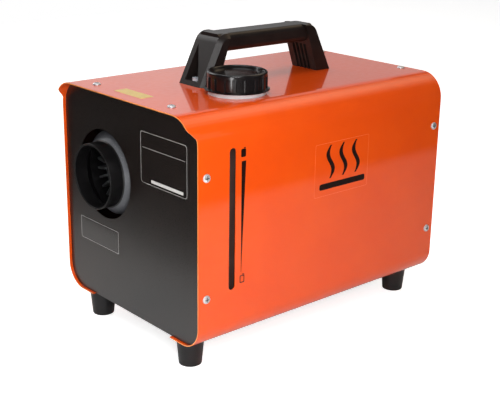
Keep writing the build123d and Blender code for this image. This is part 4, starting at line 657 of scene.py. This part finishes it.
def seatCopies(tree, seats, copy, finish):  # one copy on each seat, turned to the seat's own direction
    aim = addNode(tree, "GeometryNodeInputNamedAttribute", {"data_type": "FLOAT_VECTOR"}, {"Name": "aim"})
    turn = addNode(tree, "FunctionNodeAlignRotationToVector", {"axis": "Z"}, {"Vector": aim.outputs["Attribute"]})
    placed = addNode(tree, "GeometryNodeInstanceOnPoints", inputs={
        "Points": seats, "Instance": copy, "Rotation": turn})
    closeTree(tree, placed, finish)


# Pan head screws with a cross recess
screwSizes = {
    "headRadius": 4.5, "headHeight": 2.4, "recessLength": 5.4, "recessWidth": 1.25, "recessDepth": 2.4,
    "floorHeight": 0.9}
screwHead = {"segments": 32, "rings": 20, "bulge": 0.7}


def crossBars(tree, size, depth):
    bars = []
    for first, second in ((0, 1), (1, 0)):
        extent = addNode(tree, "ShaderNodeCombineXYZ", inputs={
            first: size["recessLength"], second: size["recessWidth"], 2: depth})
        bars.append(addNode(tree, "GeometryNodeMeshCube", inputs={"Size": extent}))
    return bars


def screwTree():
    tree, given = newTree("panHeadScrew", screwSizes)
    size = given.outputs
    ball = addNode(tree, "GeometryNodeMeshUVSphere", inputs={
        "Segments": screwHead["segments"], "Rings": screwHead["rings"], "Radius": size["headRadius"]})
    place = addNode(tree, "GeometryNodeInputPosition")
    part = addNode(tree, "ShaderNodeSeparateXYZ", inputs={0: place}).outputs
    share = addNode(tree, "ShaderNodeMath", {"operation": "DIVIDE"}, {0: part["Z"], 1: size["headRadius"]})
    above = addNode(tree, "ShaderNodeMath", {"operation": "MAXIMUM"}, {0: share, 1: 0.0})
    bulged = addNode(tree, "ShaderNodeMath", {"operation": "POWER"}, {0: above, 1: screwHead["bulge"]})
    height = addNode(tree, "ShaderNodeMath", {"operation": "MULTIPLY"}, {0: bulged, 1: size["headHeight"]})
    flat = addNode(tree, "ShaderNodeCombineXYZ", inputs={0: part["X"], 1: part["Y"], 2: height})
    head = addNode(tree, "GeometryNodeSetPosition", inputs={"Geometry": ball, "Position": flat})
    raised = addNode(tree, "ShaderNodeCombineXYZ", inputs={2: size["headHeight"]})
    cutters = [
        addNode(tree, "GeometryNodeTransform", inputs={"Geometry": bar, "Translation": raised})
        for bar in crossBars(tree, size, size["recessDepth"])]
    cut = addNode(tree, "GeometryNodeMeshBoolean", {"operation": "DIFFERENCE"}, {"Mesh 1": head, "Mesh 2": cutters})
    seatCopies(tree, size["Geometry"], cut, "zincPlate")
    return tree


def recessTree():  # the floor that closes each cross, painted dark as the recess's shade
    tree, given = newTree("crossRecess", screwSizes)
    size = given.outputs
    both = addNode(tree, "GeometryNodeJoinGeometry", inputs={0: crossBars(tree, size, size["floorHeight"])})
    lift = addNode(tree, "ShaderNodeCombineXYZ", inputs={2: size["headHeight"]})
    half = addNode(tree, "ShaderNodeVectorMath", {"operation": "SCALE"}, {0: lift, "Scale": 0.5})
    raised = addNode(tree, "GeometryNodeTransform", inputs={"Geometry": both, "Translation": half})
    seatCopies(tree, size["Geometry"], raised, "recessPaintedShade")
    return tree


# Where the screws sit: in the cover's two sides and its top, and round the inlet guard
coverScrews = {"ends": (-174, 174), "sideHeights": (58.5, 188.5), "topRows": (-68.5, 68.5)}
guardPlace = {"x": 184.1, "y": 47.5, "z": 153.3, "screwX": 183.5, "screwReach": 54.5, "spokeSink": 1.6}
coverSeats = [
    (at(x, -side * caseFaces["side"], z), (0, side, 0))
    for side in (-1, 1) for x in coverScrews["ends"] for z in coverScrews["sideHeights"]]
coverSeats += [
    (at(x, y, caseFaces["top"]), (0, 0, 1)) for x in coverScrews["ends"] for y in coverScrews["topRows"]]
diagonal = guardPlace["screwReach"] * math.sqrt(0.5)
guardSeats = [
    (at(guardPlace["screwX"], guardPlace["y"] + sy * diagonal, guardPlace["z"] + sz * diagonal), (1, 0, 0))
    for sy in (-1, 1) for sz in (-1, 1)]
screws, recesses = screwTree(), recessTree()
screwSets = (
    ("coverScrewHeads", coverSeats, "cover_screws"),
    ("guardScrewHeads", guardSeats, "guard_screws"))
for name, seats, replaced in screwSets:
    mesh = meshFromTree(name, seatMesh(name + "Seats", seats), screws, screwSizes)
    piece = addPiece(name, mesh, "zincPlate", "case")
    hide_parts(replaced)
    mesh = meshFromTree(name + "Recess", seatMesh(name + "RecessSeats", seats), recesses, screwSizes)
    addPiece(name + "Recess", mesh, "recessPaintedShade", "case")

# Inlet guard of welded round wire: rings on spokes that end in eyelets, bent flat on the panel
guardSizes = {"wireRadius": 1.0, "ringPitch": 9.4, "spokeLength": 51.6, "eyeletRadius": 3.3, "eyeletReach": 54.5}
guardCounts = {"rings": 5, "spokes": 4, "wireSides": 10, "ringSteps": 72, "eyeletSteps": 24}


def guardTree():
    tree, given = newTree("wireGuard", guardSizes)
    size, count = given.outputs, guardCounts
    section = addNode(tree, "GeometryNodeCurvePrimitiveCircle", inputs={
        "Resolution": count["wireSides"], "Radius": size["wireRadius"]})
    order = addNode(tree, "GeometryNodeInputIndex")
    rings = addNode(tree, "GeometryNodeMeshLine", inputs={"Count": count["rings"], "Offset": (0, 0, 0)})
    step = addNode(tree, "ShaderNodeMath", {"operation": "ADD"}, {0: order, 1: 1.0})
    reach = addNode(tree, "ShaderNodeMath", {"operation": "MULTIPLY"}, {0: step, 1: size["ringPitch"]})
    circle = addNode(tree, "GeometryNodeCurvePrimitiveCircle", inputs={
        "Resolution": count["ringSteps"], "Radius": 1.0})
    ringSet = addNode(tree, "GeometryNodeInstanceOnPoints", inputs={
        "Points": rings, "Instance": circle, "Scale": reach})
    spokes = addNode(tree, "GeometryNodeMeshLine", inputs={"Count": count["spokes"], "Offset": (0, 0, 0)})
    turn = 2 * math.pi / count["spokes"]
    angle = addNode(tree, "ShaderNodeMath", {"operation": "MULTIPLY_ADD"}, {0: order, 1: turn, 2: turn / 2})
    swing = addNode(tree, "ShaderNodeCombineXYZ", inputs={2: angle})
    end = addNode(tree, "ShaderNodeCombineXYZ", inputs={0: size["spokeLength"]})
    rod = addNode(tree, "GeometryNodeCurvePrimitiveLine", inputs={"Start": (0, 0, 0), "End": end})
    spot = addNode(tree, "ShaderNodeCombineXYZ", inputs={0: size["eyeletReach"]})
    loop = addNode(tree, "GeometryNodeCurvePrimitiveCircle", inputs={
        "Resolution": count["eyeletSteps"], "Radius": size["eyeletRadius"]})
    eyelet = addNode(tree, "GeometryNodeTransform", inputs={"Geometry": loop, "Translation": spot})
    parts = []
    for bar in (rod, eyelet):  # spokes and eyelets lie under the rings
        turned = addNode(tree, "GeometryNodeInstanceOnPoints", inputs={
            "Points": spokes, "Instance": bar, "Rotation": swing})
        parts.append(addNode(tree, "GeometryNodeTransform", inputs={
            "Geometry": turned, "Translation": (0, 0, -guardPlace["spokeSink"] * millimetre)}))
    tubes = []
    for part in parts + [ringSet]:
        solid = addNode(tree, "GeometryNodeRealizeInstances", inputs={0: part})
        tubes.append(addNode(tree, "GeometryNodeCurveToMesh", inputs={
            "Curve": solid, "Profile Curve": section, "Fill Caps": True}))
    closeTree(tree, addNode(tree, "GeometryNodeJoinGeometry", inputs={0: tubes}), "wireCoatBlack")
    return tree


def makeGuard():
    mesh = meshFromTree("inletGuardWires", bpy.data.meshes.new("guardStart"), guardTree(), guardSizes)
    mesh.transform(rearPlane(guardPlace["x"], guardPlace["y"], guardPlace["z"]))
    piece = addPiece("inletGuardWires", mesh, "wireCoatBlack", "case", smooth=True)
    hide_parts("inlet_guard")


makeGuard()

# Filler cap: grip ribs and a moulded turning arrow on the dished top
capSizes = {"ribWidth": 4.9, "ribDepth": 2.4, "ribHeight": 13.0, "ribReach": 31.75, "ribEdge": 0.8}
capPlace = {"x": -78, "y": -57, "ribBase": 256.4, "dish": 271.6, "ribs": 16, "edgeSteps": 5}
turnArrow = {
    "reach": 19.0, "width": 1.6, "start": 200, "end": 330, "steps": 24,
    "headHalf": 2.6, "headLength": 5, "raise": 0.5}


def capRibTree():
    tree, given = newTree("capRibs", capSizes)
    size = given.outputs
    circle = addNode(tree, "GeometryNodeMeshCircle", inputs={
        "Vertices": capPlace["ribs"], "Radius": size["ribReach"]})
    outline = addNode(tree, "GeometryNodeCurvePrimitiveQuadrilateral", inputs={
        "Width": size["ribDepth"], "Height": size["ribWidth"]})
    eased = addNode(tree, "GeometryNodeFilletCurve", {"mode": "POLY"}, {
        "Curve": outline, "Count": capPlace["edgeSteps"], "Radius": size["ribEdge"]})
    filled = addNode(tree, "GeometryNodeFillCurve", {"mode": "NGONS"}, {"Curve": eased})
    raised = addNode(tree, "ShaderNodeCombineXYZ", inputs={2: size["ribHeight"]})
    grown = addNode(tree, "GeometryNodeExtrudeMesh", inputs={"Mesh": filled, "Offset": raised, "Individual": False})
    turned = addNode(tree, "GeometryNodeFlipFaces", inputs={0: filled})
    rib = addNode(tree, "GeometryNodeJoinGeometry", inputs={0: [grown, turned]})
    place = addNode(tree, "GeometryNodeInputPosition")
    turn = addNode(tree, "FunctionNodeAlignRotationToVector", {"axis": "X"}, {"Vector": place})
    placed = addNode(tree, "GeometryNodeInstanceOnPoints", inputs={
        "Points": circle, "Instance": rib, "Rotation": turn})
    closeTree(tree, placed, "capPolypropylene")
    return tree


def makeCapDetails():
    place, size = capPlace, turnArrow
    mesh = meshFromTree("capGripRibs", bpy.data.meshes.new("ribStart"), capRibTree(), capSizes)
    mesh.transform(Matrix.Translation(at(place["x"], place["y"], place["ribBase"])))
    addPiece("capGripRibs", mesh, "capPolypropylene", "filler_cap")
    span = size["end"] - size["start"]
    angles = [math.radians(size["start"] + span * step / size["steps"]) for step in range(size["steps"] + 1)]
    outer, inner = (
        [(reach * math.cos(angle), reach * math.sin(angle)) for angle in angles]
        for reach in (size["reach"] + size["width"] / 2, size["reach"] - size["width"] / 2))
    tip = math.radians(size["end"])
    ahead = Vector((-math.sin(tip), math.cos(tip))) * size["headLength"]
    out = Vector((math.cos(tip), math.sin(tip)))
    base, across = out * size["reach"], out * size["headHalf"]
    arrow = [tuple(base + across), tuple(base + ahead), tuple(base - across)]
    shapes = [outer + inner[::-1], arrow]
    addSheet("capArrow", shapes, size["raise"], topPlane(place["x"], place["y"], place["dish"]),
             "capPolypropylene", "filler_cap")


makeCapDetails()

# Controller face: a thin frame round the display and marks printed on the keys
controllerFace = {"x": 185.5, "y": -62, "z": 166, "windowY": -18, "frameRaise": 0.4}
displayFrame = {"width": 43, "height": 37, "lineInset": 0, "line": 1.5, "lineCorners": (1.5, 0.5)}
keyMarks = {"x": 187.1, "y": 24, "pitch": 11, "tip": 1.8, "half": 1.7, "ink": 0.05}
okRing = {"width": 3.6, "height": 3.6, "lineInset": 0, "line": 0.5, "lineCorners": (1.79, 1.29)}


def makeControllerDetails():
    face, size = controllerFace, keyMarks
    plane = rearPlane(face["x"], face["y"] + face["windowY"], face["z"])
    addSheet("displayFrame", [lineRound(displayFrame)], face["frameRaise"], plane,
             "mouldedNylonBlack")
    middle = face["y"] + size["y"]
    for name, sy, sz in (("up", 0, 1), ("down", 0, -1), ("left", -1, 0), ("right", 1, 0)):
        ahead, across = Vector((sy, sz)), Vector((-sz, sy)) * size["half"]
        mark = [tuple(ahead * size["tip"]), tuple(across - ahead), tuple(-across - ahead)]
        plane = rearPlane(size["x"], middle + sy * size["pitch"], face["z"] + sz * size["pitch"])
        addSheet("keyMark_" + name, [mark], size["ink"], plane, "labelInkWhite", "button_" + name)
    plane = rearPlane(size["x"], middle, face["z"])
    addSheet("keyMark_ok", [lineRound(okRing)], size["ink"], plane, "labelInkWhite", "button_ok")


makeControllerDetails()
print("repeated pieces made")

# Floor, backdrop and light
plainWhite = (1, 1, 1, 1)
paper = {
    "colour": "#F4F4F4", "grainScale": 400, "grainDetail": 2, "bumpStrength": 0.1, "bumpDepth": 0.0002,
    "wallRoughness": 0.9, "floorRoughness": 0.6}
studio = {
    "floor": [(-1.3, -1.1), (4, -1.1), (4, 2.2), (-0.37, 2.2), (-0.37, 0), (-1.3, 0)],
    "wallLeft": -0.4, "wallRight": 4.0, "wallBack": 2.2, "wallHeight": 3.0,
    "floorGlow": 0.74,  # lifts the floor to white for the camera and keeps its shadow
    "wallNear": 1.6, "wallFar": 2.2, "wallGlow": (0.8, 0.5),  # the wall in mirrors fades to the right
    "fadeStart": -0.54, "fadeEnd": -0.59, "fadeSide": -0.28, "fadeTo": "#1A1A1A",  # the floor far in front
    "softColour": "#FFE2BC", "worldLevel": 0.14, "worldInGloss": 0.05,
    "lamps": [
        # name, place, aimed at, size, power
        ("keyLamp", (-0.62, -0.66, 0.78), (-0.08, 0, 0.2), 0.45, 3.4),
        ("topLamp", (-0.3, 0.2, 2.2), (0, 0, 0.2), 1.4, 15),
        ("sideLamp", (0.9, -2.2, 1.2), (0, 0, 0.15), 1.2, 1.4),
        ("nearLamp", (-1.25, -1.42, 0.95), (0, 0, 0.2), 0.5, 4),
        ("lowLamp", (-0.45, -0.58, 0.3), (-0.12, -0.12, 0.14), 0.3, 2.6),
        ("edgeLamp", (-1.0, -0.6, 0.12), (-0.08, -0.06, 0.29), 0.2, 1.5),
        ("bendLamp", (1.25, 0.0, 1.75), (0, -0.1, 0.27), 2.2, 30),
        ("backLamp", (-0.5, 1.6, 1.3), (0, 0, 0.15), 1.0, 9),
    ],
    "softLamps": ["bendLamp"],
    "unseenInGloss": ["lowLamp"],
    "seenInGlossOnly": ["edgeLamp"],  # draws thin lights along rounded edges
}


def paperMaterial(name):
    material, tree = newMaterial(name)
    place = addNode(tree, "ShaderNodeTexCoord").outputs["Object"]
    grain = addNode(tree, "ShaderNodeTexNoise", inputs={
        "Vector": place, "Scale": paper["grainScale"], "Detail": paper["grainDetail"]})
    bump = addNode(tree, "ShaderNodeBump", inputs={
        "Strength": paper["bumpStrength"], "Distance": paper["bumpDepth"], "Height": grain})
    part = addNode(tree, "ShaderNodeSeparateXYZ", inputs={0: place}).outputs
    return material, tree, part, bump


def backdropMaterial():
    material, tree, part, bump = paperMaterial("paperBackdrop")
    sheet = addNode(tree, "ShaderNodeBsdfPrincipled", inputs={
        "Base Color": linear(paper["colour"]), "Roughness": paper["wallRoughness"], "Normal": bump})
    seen = addNode(tree, "ShaderNodeLightPath").outputs
    near, far = studio["wallGlow"]
    fading = addNode(tree, "ShaderNodeMapRange", inputs={
        "Value": part["X"], "From Min": studio["wallNear"], "From Max": studio["wallFar"],
        "To Min": near, "To Max": far})
    level = addNode(tree, "ShaderNodeMix", {"data_type": "FLOAT"}, {0: seen["Is Camera Ray"], 2: fading, 3: 1.0})
    glow = addNode(tree, "ShaderNodeEmission", inputs={"Color": plainWhite, "Strength": level})
    shown = seen["Is Camera Ray"]
    for ray in ("Is Glossy Ray", "Is Transmission Ray"):
        shown = addNode(tree, "ShaderNodeMath", {"operation": "MAXIMUM"}, {0: shown, 1: seen[ray]})
    mixed = addNode(tree, "ShaderNodeMixShader", inputs={0: shown, 1: sheet, 2: glow})
    addNode(tree, "ShaderNodeOutputMaterial", inputs={0: mixed})
    return material


def floorMaterial():
    material, tree, part, bump = paperMaterial("paperFloor")
    ahead = addNode(tree, "ShaderNodeMapRange", inputs={
        "Value": part["Y"], "From Min": studio["fadeStart"], "From Max": studio["fadeEnd"]})
    beside = addNode(tree, "ShaderNodeMath", {"operation": "GREATER_THAN"}, {0: part["X"], 1: studio["fadeSide"]})
    faded = addNode(tree, "ShaderNodeMath", {"operation": "MULTIPLY"}, {0: ahead, 1: beside})
    colour = addNode(tree, "ShaderNodeMix", {"data_type": "RGBA"}, {
        0: faded, 6: linear(paper["colour"]), 7: linear(studio["fadeTo"])}).outputs[2]
    sheet = addNode(tree, "ShaderNodeBsdfPrincipled", inputs={
        "Base Color": colour, "Roughness": paper["floorRoughness"], "Normal": bump})
    seen = addNode(tree, "ShaderNodeLightPath").outputs
    shown = addNode(tree, "ShaderNodeMath", {"operation": "MULTIPLY"}, {
        0: seen["Is Camera Ray"], 1: studio["floorGlow"]})
    glow = addNode(tree, "ShaderNodeEmission", inputs={"Color": plainWhite, "Strength": shown})
    both = addNode(tree, "ShaderNodeAddShader", inputs={0: sheet, 1: glow})
    addNode(tree, "ShaderNodeOutputMaterial", inputs={0: both})
    return material


def softenLamp(data):  # bright in the middle and fading to its rim, so its mirror image has no edge
    data.use_nodes = True
    tree = data.node_tree
    tree.nodes.clear()
    across = addNode(tree, "ShaderNodeNewGeometry").outputs["Parametric"]
    off = addNode(tree, "ShaderNodeVectorMath", {"operation": "SUBTRACT"}, {0: across, 1: (0.5, 0.5, 0)})
    flat = addNode(tree, "ShaderNodeVectorMath", {"operation": "MULTIPLY"}, {0: off, 1: (1, 1, 0)})
    reach = addNode(tree, "ShaderNodeVectorMath", {"operation": "LENGTH"}, {0: flat}).outputs["Value"]
    level = addNode(tree, "ShaderNodeMapRange", {"interpolation_type": "SMOOTHSTEP"}, {
        "Value": reach, "From Min": 0.5, "From Max": 0.0})
    glow = addNode(tree, "ShaderNodeEmission", inputs={"Color": linear(studio["softColour"]), "Strength": level})
    addNode(tree, "ShaderNodeOutputLight", inputs={0: glow})


def makeWorld():
    world = bpy.data.worlds.new("studioWorld")
    world.use_nodes = True
    tree = world.node_tree
    tree.nodes.clear()
    seen = addNode(tree, "ShaderNodeLightPath").outputs
    level = addNode(tree, "ShaderNodeMix", {"data_type": "FLOAT"}, {
        0: seen["Is Glossy Ray"], 2: studio["worldLevel"], 3: studio["worldInGloss"]})
    level = addNode(tree, "ShaderNodeMix", {"data_type": "FLOAT"}, {0: seen["Is Camera Ray"], 2: level, 3: 1.0})
    sky = addNode(tree, "ShaderNodeBackground", inputs={"Color": plainWhite, "Strength": level})
    addNode(tree, "ShaderNodeOutputWorld", inputs={0: sky})
    bpy.context.scene.world = world


def makeStudio():
    left, right, back, high = (studio[key] for key in ("wallLeft", "wallRight", "wallBack", "wallHeight"))
    corners = [(x, y, 0) for x, y in studio["floor"]]
    wall = [(left, back, 0), (right, back, 0), (right, back, high), (left, back, high)]
    for name, points, paint in (("floor", corners, floorMaterial()), ("backdrop", wall, backdropMaterial())):
        mesh = bpy.data.meshes.new(name)
        mesh.from_pydata(points, [], [tuple(range(len(points)))])
        mesh.materials.append(paint)
        sheet = inScene(name, mesh)
    for name, place, target, size, power in studio["lamps"]:
        data = bpy.data.lights.new(name, "AREA")
        data.energy, data.size = power, size
        if name in studio["softLamps"]:
            softenLamp(data)
        lamp = inScene(name, data)
        aim = (Vector(target) - Vector(place)).to_track_quat("-Z", "Y")
        lamp.matrix_world = Matrix.Translation(place) @ aim.to_matrix().to_4x4()
        lamp.visible_camera = False
        lamp.visible_glossy = name not in studio["unseenInGloss"]
        lamp.visible_diffuse = name not in studio["seenInGlossOnly"]
    makeWorld()


makeStudio()
bpy.context.scene.view_settings.view_transform = "Standard"
print("studio made")
